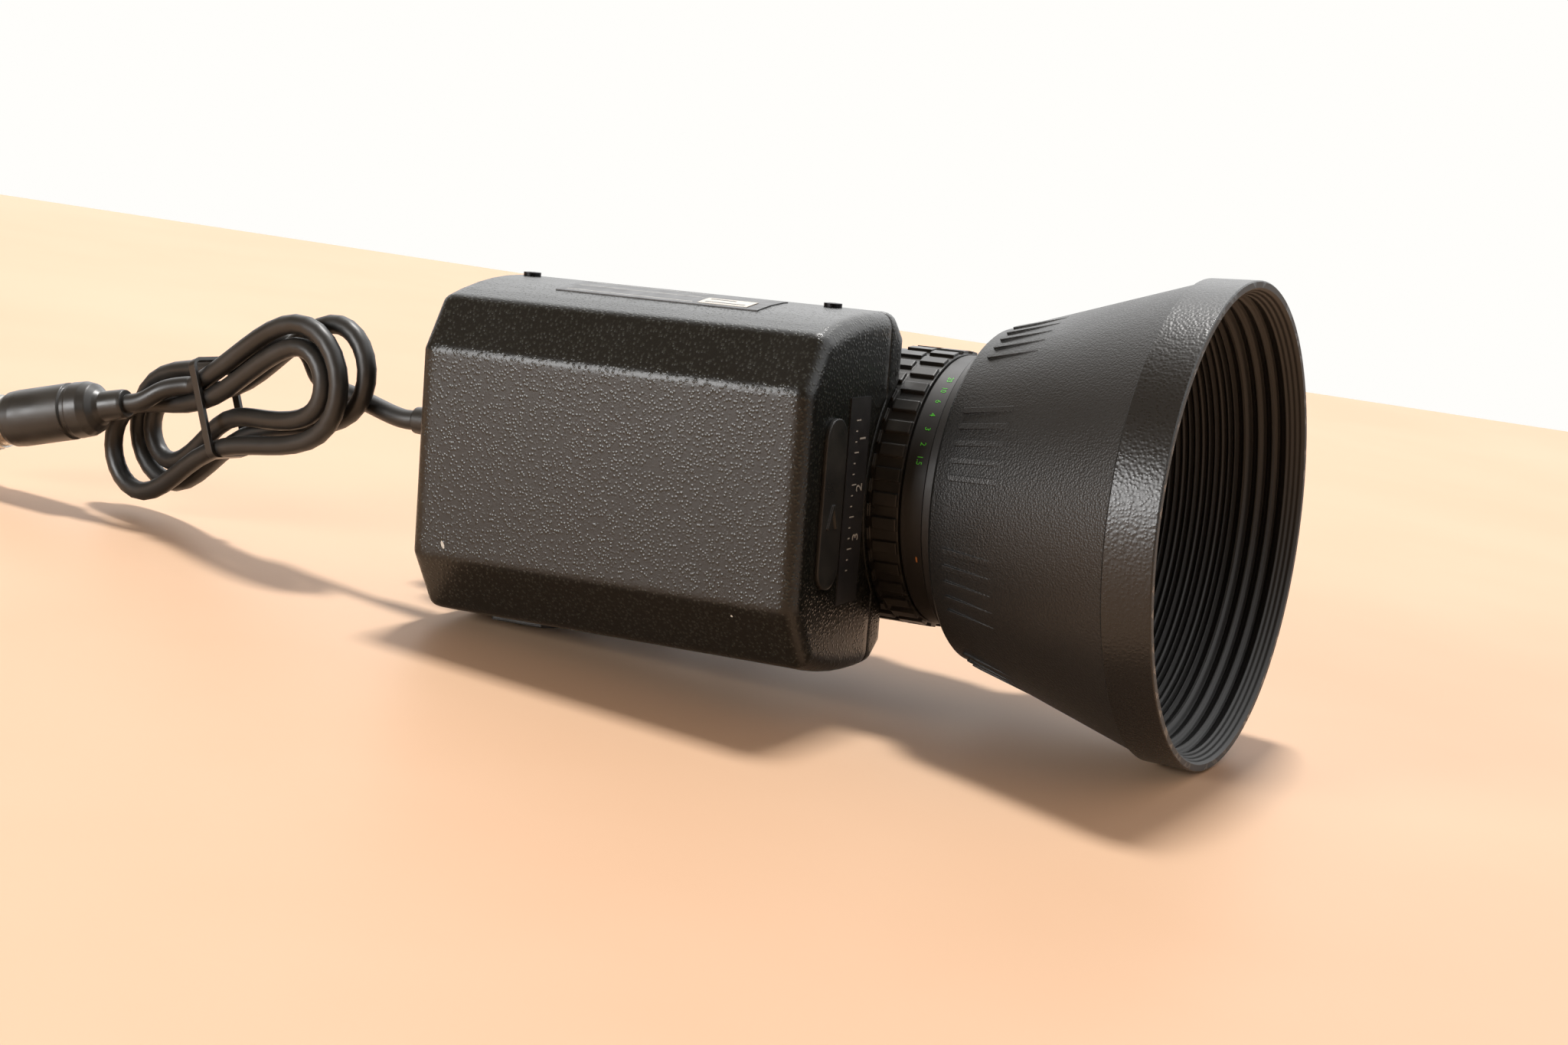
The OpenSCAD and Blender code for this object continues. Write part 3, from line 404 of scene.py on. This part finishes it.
tree.links.new(tone.outputs["Color"], shader.inputs["Base Color"])

tie_nylon, tree, shader, where = new_material("moulded_nylon", "#262625", 0.28, ior=1.53)
dimples = add(tree, "ShaderNodeTexNoise", None, {"Scale": per(0.8), "Detail": 2}, {"Vector": where})
edges = add(tree, "ShaderNodeBevel", {"samples": 4}, {"Radius": 0.3 * MM})
soft = add(tree, "ShaderNodeBump", None, {"Strength": 0.5, "Distance": 0.01 * MM},
           {"Height": dimples.outputs["Fac"], "Normal": edges.outputs["Normal"]})
tree.links.new(soft.outputs["Normal"], shader.inputs["Normal"])
print("cable:", sheath.name, "and", tie_nylon.name)

# %% [markdown]
# ## Plated and plain metals
# The lens mount and the plug's shell are brass with a nickel plating. The motor cans are zinc plated, the
# screws are steel and the small gears are plain brass. All of them carry fine scratches from use, which
# show as uneven shine rather than as lines, and they run round the axis more than along it.

# %% Metals
def scratched_metal(name, colour, dull, roughness, scratch):
    """Bare or plated metal; dull is its tone where it has gone matt, scratch is in millimetres."""
    material, tree, shader, where = new_material(name, colour, roughness, metallic=1.0)
    drawn = add(tree, "ShaderNodeMapping", None, {"Scale": (3, 1, 1)}, {"Vector": where})
    marks = add(tree, "ShaderNodeTexNoise", None, {"Scale": per(scratch), "Detail": 5, "Roughness": 0.7},
                {"Vector": drawn.outputs["Vector"]})
    shine = add(tree, "ShaderNodeMapRange", None,
                {"From Min": 0.3, "From Max": 0.7, "To Min": roughness - 0.06, "To Max": roughness + 0.12},
                {"Value": marks.outputs["Fac"]})
    tree.links.new(shine.outputs["Result"], shader.inputs["Roughness"])
    tone = add(tree, "ShaderNodeValToRGB", None, None, {"Fac": marks.outputs["Fac"]},
               [(0.4, colour), (0.8, dull)])
    tree.links.new(tone.outputs["Color"], shader.inputs["Base Color"])
    edges = add(tree, "ShaderNodeBevel", {"samples": 4}, {"Radius": 0.15 * MM})
    cut = add(tree, "ShaderNodeBump", None, {"Strength": 0.3, "Distance": 0.004 * MM},
              {"Height": marks.outputs["Fac"], "Normal": edges.outputs["Normal"]})
    tree.links.new(cut.outputs["Normal"], shader.inputs["Normal"])
    return material


nickel = scratched_metal("nickel_plated_brass", "#cfcdc6", "#b3b0a8", 0.24, 0.6)
steel = scratched_metal("plain_steel", "#a9a9aa", "#8c8c8c", 0.32, 0.6)
zinc_can = scratched_metal("zinc_plated_steel", "#8d8f92", "#76787b", 0.38, 1.5)
black_steel = scratched_metal("blackened_steel", "#1d1d1e", "#343435", 0.36, 0.5)
brass = scratched_metal("machined_brass", "#cfa75a", "#b48c44", 0.28, 0.8)
print("metals:", ", ".join(metal.name for metal in (nickel, steel, zinc_can, black_steel, brass)))

# %% [markdown]
# ## Coated glass
# Optical glass is clear, and its coating adds a dim coloured reflection. From outside, a lens looks dark,
# because little light comes back from the blackened cells behind it. A film of dust dulls it in places.

# %% Glass
glass, tree, shader, where = new_material("coated_optical_glass", "#dfe9f2", 0.02, ior=1.6)
shader.inputs["Transmission Weight"].default_value = 1.0
shader.inputs["Coat Weight"].default_value = 0.3
shader.inputs["Coat Tint"].default_value = linear("#8fa8ff")
dust = add(tree, "ShaderNodeTexNoise", None, {"Scale": per(2.5), "Detail": 4}, {"Vector": where})
film = add(tree, "ShaderNodeMapRange", None,
           {"From Min": 0.4, "From Max": 0.8, "To Min": 0.01, "To Max": 0.05},
           {"Value": dust.outputs["Fac"]})
tree.links.new(film.outputs["Result"], shader.inputs["Roughness"])
print("glass:", glass.name)

# %% [markdown]
# ## Foils, plastics and paints of the small pieces
# The label plates are printed foil. The switch sliders, the switch block and the plug's insert are small
# mouldings. All of these are smooth, with a faint ripple in the shine. The small marks are screen-printed
# paint, which lies on the surface as a thin film. Inside the drive unit is a board of glass-fibre cloth.
# Its weave is drawn with the brick texture, whose bricks are half a cell long, so here 1.5 mm.

# %% Foils, small mouldings and paints
def smooth_skin(name, colour, shade, roughness, ripple):
    """A smooth foil, moulding or paint; shade is its second tone, ripple is in millimetres."""
    material, tree, shader, where = new_material(name, colour, roughness, ior=1.5)
    waves = add(tree, "ShaderNodeTexNoise", None, {"Scale": per(ripple), "Detail": 3}, {"Vector": where})
    tone = add(tree, "ShaderNodeValToRGB", None, None, {"Fac": waves.outputs["Fac"]},
               [(0.35, colour), (0.7, shade)])
    tree.links.new(tone.outputs["Color"], shader.inputs["Base Color"])
    shine = add(tree, "ShaderNodeMapRange", None,
                {"From Min": 0.3, "From Max": 0.7, "To Min": roughness - 0.05, "To Max": roughness + 0.08},
                {"Value": waves.outputs["Fac"]})
    tree.links.new(shine.outputs["Result"], shader.inputs["Roughness"])
    lie = add(tree, "ShaderNodeBump", None, {"Strength": 0.4, "Distance": 0.008 * MM},
              {"Height": waves.outputs["Fac"]})
    tree.links.new(lie.outputs["Normal"], shader.inputs["Normal"])
    return material


dark_foil = smooth_skin("printed_dark_foil", "#232324", "#2a2a2b", 0.34, 4)
white_foil = smooth_skin("printed_white_foil", "#dcd9d0", "#e4e1d9", 0.45, 3)
slider_nylon = smooth_skin("moulded_grey_nylon", "#c8c8c2", "#bdbdb6", 0.45, 1)
insert_plastic = smooth_skin("moulded_insert_plastic", "#1d1d1f", "#252527", 0.4, 1)
green_paint = smooth_skin("green_screen_print", "#66f446", "#58d83c", 0.45, 0.5)
orange_paint = smooth_skin("orange_screen_print", "#e0924e", "#cc7f3d", 0.45, 0.5)
white_paint = smooth_skin("white_screen_print", "#c9c9c4", "#b9b9b3", 0.45, 0.5)
bare_plastic = smooth_skin("scuffed_bare_plastic", "#d9d6cd", "#bdb9ae", 0.6, 0.4)
smooth_finishes = (dark_foil, white_foil, slider_nylon, insert_plastic, green_paint, orange_paint,
                   white_paint, bare_plastic)
print("smooth finishes:", ", ".join(finish.name for finish in smooth_finishes))

# %% Circuit board
board, tree, shader, where = new_material("glass_fibre_board", "#1d5a3a", 0.35, ior=1.55)
cloth = add(tree, "ShaderNodeTexBrick", None,
            {"Scale": per(3), "Color1": linear("#1d5a3a"), "Color2": linear("#184c31"),
             "Mortar": linear("#2a7049")}, {"Vector": where})
tree.links.new(cloth.outputs["Color"], shader.inputs["Base Color"])
lacquer = add(tree, "ShaderNodeBump", None, {"Strength": 0.3, "Distance": 0.02 * MM},
              {"Height": cloth.outputs["Fac"]})
tree.links.new(lacquer.outputs["Normal"], shader.inputs["Normal"])
print("board:", board.name)

# %% [markdown]
# ## Dress the solids
# Each solid keeps its shape and gets its finish here. The table is the list of what each piece of the
# lens is made of, so it reads like a bill of materials.

# %% Finishes of the solids
finishes = [
    (abs_cover, ["drive_cover", "drive_back_cover"]),
    (hood_finish, ["hood"]),
    (anodised, ["main_barrel", "flange_back_ring", "lock_screw", "rear_cell", "iris_ring", "index_ring",
                "zoom_ring", "focus_ring", "rear_clamp_ring", "front_clamp_ring", "front_cell",
                "front_retaining_ring", "focus_cell", "variator_cell", "compensator_cell", "iris_housing"]),
    (matt_band, ["name_band", "front_ring"]),
    (rubber, ["focus_grip", "bottom_pad", "mode_plug", "cable_gland", "plug_boot"]),
    (nickel, ["bayonet_mount", "plug_shell", "plug_collar"]),
    (steel, ["mount_screws"]),
    (zinc_can, ["servo_motors", "motor_brackets"]),
    (black_steel, ["cover_screws"]),
    (glass, ["rear_glass", "relay_glass", "variator_glass", "compensator_glass", "focus_glass",
             "front_element"]),
    (dark_foil, ["top_label", "front_label"]),
    (white_foil, ["top_sticker"]),
    (board, ["circuit_board"]),
    (slider_nylon, ["focus_switch", "zoom_switch", "iris_switch"]),
    (insert_plastic, ["switch_block", "plug_insert"]),
    (brass, ["iris_idler", "zoom_idler", "focus_idler", "iris_pinion", "zoom_pinion", "focus_pinion"]),
    (sheath, ["cable_lead", "cable_hank", "cable_tail"]),
    (tie_nylon, ["cable_tie"]),
]
for material, names in finishes:
    for name in names:
        solid = nodes[name]
        if not solid.material_slots:
            solid.data.materials.append(material)
        for slot in solid.material_slots:
            slot.material = material
cable.data.materials.append(sheath)
print("dressed:", sum(len(names) for _, names in finishes), "of", len(nodes))

# %% [markdown]
# ## Numbers on the rings
# A lens ring carries its scale as small painted numbers that bend round with it. Blender's text makes
# the outlines, flat. Each point of a number is then laid on the ring: its place along the line of writing
# becomes an angle, its height goes along the lens axis, and the film's thickness goes outwards. The tops
# of the numbers point to the front of the lens, as on any lens that is read from behind the camera.

# %% Bent numbers
FILM = 0.05


def new_piece(name, vertices, faces, material, body, slot):
    """A mesh piece, in metres, that rides on a body."""
    mesh = bpy.data.meshes.new(name)
    mesh.from_pydata(vertices, [], faces)
    mesh.validate()
    mesh.materials.append(material)
    piece = bpy.data.objects.new(name, mesh)
    bpy.context.collection.objects.link(piece)
    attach(piece, body)
    return piece


def round_ring(radius, x, angle, outwards=0.0):
    """Point on a ring round the lens axis: angle in degrees from -Y, positive up."""
    a = math.radians(angle)
    return (x * MM, -(radius + outwards) * math.cos(a) * MM, (radius + outwards) * math.sin(a) * MM)


def flat_text(words, size):
    """Vertices and faces of a line of text with a little thickness, centred, in millimetres."""
    curve = bpy.data.curves.new("text", "FONT")
    curve.body, curve.size, curve.extrude = words, size, FILM
    curve.align_x, curve.align_y, curve.resolution_u = "CENTER", "CENTER", 3
    holder = bpy.data.objects.new("text", curve)
    bpy.context.collection.objects.link(holder)
    view = bpy.context.evaluated_depsgraph_get()
    mesh = bpy.data.meshes.new_from_object(holder.evaluated_get(view))
    vertices = [v.co.copy() for v in mesh.vertices]
    faces = [tuple(p.vertices) for p in mesh.polygons]
    bpy.data.objects.remove(holder)
    bpy.data.meshes.remove(mesh)
    return vertices, faces


def joined(parts):
    """Several lists of vertices and faces as one."""
    vertices, faces = [], []
    for some_vertices, some_faces in parts:
        faces += [tuple(len(vertices) + i for i in face) for face in some_faces]
        vertices += some_vertices
    return vertices, faces


def ring_numbers(name, words, start, step, radius, x, size, paint, body):
    """A row of numbers round a ring: the first is centred on the start angle, the rest a step further."""
    parts = []
    for k, word in enumerate(words):
        flat, sides = flat_text(word, size)
        angle = start + step * k
        parts.append(([round_ring(radius, x + v.y, angle - math.degrees(v.x / radius), v.z) for v in flat],
                      sides))
    return new_piece(name, *joined(parts), paint, body, "label_white")


# %% Scales
BAND_R, RING_R = 34.3, 33.2
scales = [
    ring_numbers("distance_numbers", ["1.5", "2", "3", "4", "6", "10", "20"], 17.5, 6.8, BAND_R, 136, 2.1,
                 green_paint, "lens_body"),
    ring_numbers("iris_numbers", ["1.6", "2", "2.8", "4", "5.6", "8", "11"], 90, 10, RING_R, 38, 2.4,
                 white_paint, "iris_ring"),
    ring_numbers("zoom_numbers", ["10", "15", "25", "40", "70", "100"], 90, 18, RING_R, 53, 2.6,
                 white_paint, "zoom_ring"),
]
print("scales:", ", ".join("%s %d faces" % (scale.name, len(scale.data.polygons)) for scale in scales))


# %% [markdown]
# ## Lines, dots and scuffs
# The other marks are lines and dots. A line round or along a ring is a thin strip whose corners lie on the
# ring. On the flat covers the strip is laid down by a ray: a ray cast at the solid tells where its surface
# is, so the mark sits on it wherever the surface bends. The plates carry plain rules, ticks and numbers,
# with no words. The covers have a few small chips, where the pale plastic under the skin shows.

# %% Lines on rings
def ring_patch(radius, x0, x1, angle0, angle1, steps=3):
    """Vertices and faces of a thin patch on a ring."""
    vertices, faces = [], []
    for k in range(steps + 1):
        angle = angle0 + (angle1 - angle0) * k / steps
        vertices += [round_ring(radius, x0, angle, -FILM), round_ring(radius, x1, angle, -FILM),
                     round_ring(radius, x1, angle, FILM), round_ring(radius, x0, angle, FILM)]
    for k in range(steps):
        a, b = 4 * k, 4 * k + 4
        faces += [(a + i, a + (i + 1) % 4, b + (i + 1) % 4, b + i) for i in range(4)]
    return vertices, faces + [(3, 2, 1, 0), tuple(4 * steps + i for i in range(4))]


new_piece("orange_index", *ring_patch(BAND_R, 136.6, 137.0, -25.6, -23.2), orange_paint, "lens_body",
          "label_white")
new_piece("ring_index", *ring_patch(33.4, 46.5, 49.5, 89.5, 90.5), white_paint, "lens_body", "label_white")


# %% Marks laid on a solid
ABOVE, RAY_START, SIDE_Y = 0.02, 50, -60
FROM_SIDE, FROM_ABOVE, FROM_FRONT = (0, 1, 0), (0, 0, -1), (-1, 0, 0)


def laid(node, outline, direction):
    """A thin mark on a solid: outline points, in millimetres, go along direction until they meet it."""
    way = Vector(direction)
    rim = []
    for point in outline:
        hit, place, _, _ = nodes[node].ray_cast((Vector(point) - way * RAY_START) * MM, way)
        if not hit:
            raise ValueError("nothing of %s under the mark" % node)
        rim.append(place)
    n = len(rim)
    vertices = [p + way * FILM * MM for p in rim] + [p - way * ABOVE * MM for p in rim]
    faces = [tuple(range(n)), tuple(range(2 * n - 1, n - 1, -1))]
    faces += [(i, i + n, (i + 1) % n + n, (i + 1) % n) for i in range(n)]
    return vertices, faces


def spot(x, z, radius, corners, squash=1.0, lean=0.0):
    """Outline of a small round or long spot that faces the side with the drive unit."""
    points = []
    for k in range(corners):
        a = 2 * math.pi * k / corners
        u, v = radius * math.cos(a), radius * squash * math.sin(a)
        points.append((x + u * math.cos(lean) - v * math.sin(lean), SIDE_Y,
                       z + u * math.sin(lean) + v * math.cos(lean)))
    return points


# Painted shade: a near-black disc laid on the hood where it has a small round recess, standing in for the
# shade inside it.
hood_recess_shade = laid("hood", spot(148.4, 0.9, 0.75, 16), FROM_SIDE)
new_piece("hood_recess_painted_shade", *hood_recess_shade, matt_band, "hood", "hood_plastic")
chips = [spot(26, -21.5, 1.1, 7, 0.42, 2.0), spot(107.6, -27.6, 0.3, 6), spot(66, 12, 0.22, 5)]
new_piece("cover_chips", *joined([laid("drive_cover", chip, FROM_SIDE) for chip in chips]), bare_plastic,
          "lens_body", "label_white")
print("spots: 1 on the hood, %d on the cover" % len(chips))


# %% Plain rules on the top plates
TOP_Z = 60


def rule(x0, x1, y, width):
    """Outline of a thin line along X, over the top of the lens."""
    y0, y1 = y - width / 2, y + width / 2
    return [(x0, y0, TOP_Z), (x1, y0, TOP_Z), (x1, y1, TOP_Z), (x0, y1, TOP_Z)]


top_lines = [laid("top_label", rule(44, 80, y, 0.3), FROM_ABOVE) for y in (-50, -44, -38)]
new_piece("top_label_rules", *joined(top_lines), white_paint, "lens_body", "label_white")
sticker_lines = [laid("top_sticker", rule(83, x1, y, 0.7), FROM_ABOVE) for x1, y in ((94, -49), (90, -46))]
new_piece("sticker_rules", *joined(sticker_lines), matt_band, "lens_body", "label_black")

# %% Numbers and ticks on the front plate
front_label = nodes["front_label"]
LABEL_OUT = max((front_label.matrix_world @ Vector(corner)).x for corner in front_label.bound_box) / MM
ACROSS_LABEL, NUMBER_SIZE = -42.2, 4.4
TICKS, TICK_TOP, TICK_STEP, TICK_HALF = 15, 19.5, 2.6, 0.15
TICK_START, SHORT_END, LONG_END, FRONT_X = -46.4, -45.4, -44, 200
front_marks = []
for word, z in (("1", 15), ("2", 3), ("3", -9)):
    flat, sides = flat_text(word, NUMBER_SIZE)
    front_marks.append(([Vector((LABEL_OUT + v.z, ACROSS_LABEL - v.y, z + v.x)) * MM for v in flat],
                        sides))
for k in range(TICKS):
    z, end = TICK_TOP - TICK_STEP * k, SHORT_END if k % 3 else LONG_END
    low, high = z - TICK_HALF, z + TICK_HALF
    tick = [(FRONT_X, TICK_START, low), (FRONT_X, end, low),
            (FRONT_X, end, high), (FRONT_X, TICK_START, high)]
    front_marks.append(laid("front_label", tick, FROM_FRONT))
new_piece("front_label_rules", *joined(front_marks), white_paint, "lens_body", "label_white")
print("plates: %d lines on top, %d marks in front" % (len(top_lines + sticker_lines), len(front_marks)))

# %% [markdown]
# ## The filter thread
# The front ring's tube has a fine thread for screw-in filters. A thread is a ridge that climbs as it goes
# round, so its points are worked out along a helix, three for each step: its two feet and its crest. The
# crest rises from nothing at either end of the thread, as a cut thread runs in and out.

# %% Filter thread
PITCH, THREAD_R, CREST, HALF_FOOT = 0.75, 33, 0.4, 0.34
TURNS, PER_TURN, THREAD_X, RUN_IN = 8, 72, 142.2, 12
vertices, faces = [], []
for k in range(TURNS * PER_TURN + 1):
    x = THREAD_X + PITCH * k / PER_TURN
    angle = 360 * k / PER_TURN
    depth = CREST * smooth(min(k, TURNS * PER_TURN - k) / RUN_IN)
    vertices += [round_ring(THREAD_R, x - HALF_FOOT, angle, FILM), round_ring(THREAD_R, x, angle, -depth),
                 round_ring(THREAD_R, x + HALF_FOOT, angle, FILM)]
for k in range(TURNS * PER_TURN):
    a, b = 3 * k, 3 * k + 3
    faces += [(a, a + 1, b + 1, b), (a + 1, a + 2, b + 2, b + 1), (a + 2, a, b, b + 2)]
faces += [(2, 1, 0), tuple(3 * TURNS * PER_TURN + i for i in range(3))]
new_piece("filter_thread", vertices, faces, anodised, "lens_body", "black_anodised")
print("thread: %d turns of %.2f mm" % (TURNS, PITCH))

# %% [markdown]
# ## Table
# The lens lies on its hood and on the pad under the drive unit, so the table leans a little against the
# lens axis. It is a plain pale table that ends behind the lens, with white beyond it.

# %% Table
HOOD_RIM_R, HOOD_RIM_X, TABLE_SLOPE = 60, 206, 0.0915
TABLE_CORNERS = [(-2400, -461), (-2400, -2600), (2600, -2600), (2600, 2524)]


def on_table(x, y):
    """Point of the table at (x, y): millimetres to metres."""
    return Vector((x, y, -HOOD_RIM_R + TABLE_SLOPE * (HOOD_RIM_X - x))) * MM


table_mesh = bpy.data.meshes.new("table")
table_mesh.from_pydata([on_table(x, y) for x, y in TABLE_CORNERS], [], [(0, 1, 2, 3)])
table = bpy.data.objects.new("table", table_mesh)
bpy.context.collection.objects.link(table)
table_finish, tree, shader, where = new_material("pale_lacquer", "#eac3a0", 0.5, ior=1.45)
cloud = add(tree, "ShaderNodeTexNoise", None, {"Scale": per(160), "Detail": 3}, {"Vector": where})
tone = add(tree, "ShaderNodeValToRGB", None, None, {"Fac": cloud.outputs["Fac"]},
           [(0.3, "#e8c09c"), (0.7, "#edc8a6")])
tree.links.new(tone.outputs["Color"], shader.inputs["Base Color"])
table.data.materials.append(table_finish)
print("table: slopes %.1f degrees" % math.degrees(math.atan(TABLE_SLOPE)))

# %% [markdown]
# ## Light
# The room is white behind the lens and darker in front of it, as in a studio with a white wall. The
# world does that with a ramp over the direction of the ray, and a second one makes it brighter higher
# up. Rays that only carry soft light get a warm and much dimmer room, so the lamps make the shadows.
# The camera always sees the white, and sees it through the glass too. A soft lamp above and behind
# brightens the tops and throws the shadow forwards, and a soft window at the left gives the long
# highlight on the hood.

# %% World
world = bpy.data.worlds.new("studio")
world.use_nodes = True
bpy.context.scene.world = world
tree = world.node_tree
background = tree.nodes["Background"]
direction = add(tree, "ShaderNodeSeparateXYZ", None, None,
                {"Vector": add(tree, "ShaderNodeTexCoord").outputs["Generated"]})
towards = add(tree, "ShaderNodeMath", {"operation": "MULTIPLY_ADD"}, {1: 0.45},
              {0: direction.outputs["X"], 2: direction.outputs["Y"]})
depth = add(tree, "ShaderNodeMapRange", None, {"From Min": -0.35, "From Max": 0.35},
            {"Value": towards.outputs[0]})
room = add(tree, "ShaderNodeValToRGB", None, None, {"Fac": depth.outputs["Result"]},
           [(0, "#6b5a48"), (1, "#ffffff")])
rays = add(tree, "ShaderNodeLightPath")
seen = add(tree, "ShaderNodeMath", {"operation": "MAXIMUM"}, None,
           {0: rays.outputs["Is Camera Ray"], 1: rays.outputs["Is Transmission Ray"]})
warm = add(tree, "ShaderNodeMix", {"data_type": "RGBA", "blend_type": "MULTIPLY"}, {7: linear("#ffb868")},
           {0: rays.outputs["Is Diffuse Ray"], 6: room.outputs["Color"]})
white = add(tree, "ShaderNodeMix", {"data_type": "RGBA"}, {7: linear("#fffefb")},
            {0: seen.outputs[0], 6: warm.outputs[2]})
tree.links.new(white.outputs[2], background.inputs["Color"])
upwards = add(tree, "ShaderNodeMapRange", None,
              {"From Min": 0.0, "From Max": 0.4, "To Min": 0.65, "To Max": 2.0},
              {"Value": direction.outputs["Z"]})
fill = add(tree, "ShaderNodeMapRange", None, {"To Min": 1.0, "To Max": 0.14},
           {"Value": rays.outputs["Is Diffuse Ray"]})
light = add(tree, "ShaderNodeMath", {"operation": "MULTIPLY"}, None,
            {0: upwards.outputs["Result"], 1: fill.outputs["Result"]})
level = add(tree, "ShaderNodeMix", None, {"B": 1.0}, {"Factor": seen.outputs[0], "A": light.outputs[0]})
tree.links.new(level.outputs["Result"], background.inputs["Strength"])


# %% Lamps
def soft_lamp(name, place, target, width, height, watts, colour="#ffffff"):
    """An area lamp at a place in metres that looks at a target."""
    data = bpy.data.lights.new(name, "AREA")
    data.shape, data.size, data.size_y, data.energy = "RECTANGLE", width, height, watts
    data.color = linear(colour)[:3]
    lamp = bpy.data.objects.new(name, data)
    lamp.location = place
    lamp.rotation_euler = (Vector(target) - Vector(place)).to_track_quat("-Z", "Y").to_euler()
    bpy.context.collection.objects.link(lamp)


middle = (0.06, -0.02, 0)
soft_lamp("lamp_above", (-0.14, 0.91, 2.84), middle, 0.4, 0.4, 81, "#fffcf9")
soft_lamp("window_left", (-0.6, -1.32, 0.36), middle, 0.7, 0.45, 15)
print("lamps:", len(bpy.data.lights))

# %% Finish
bpy.context.view_layer.update()
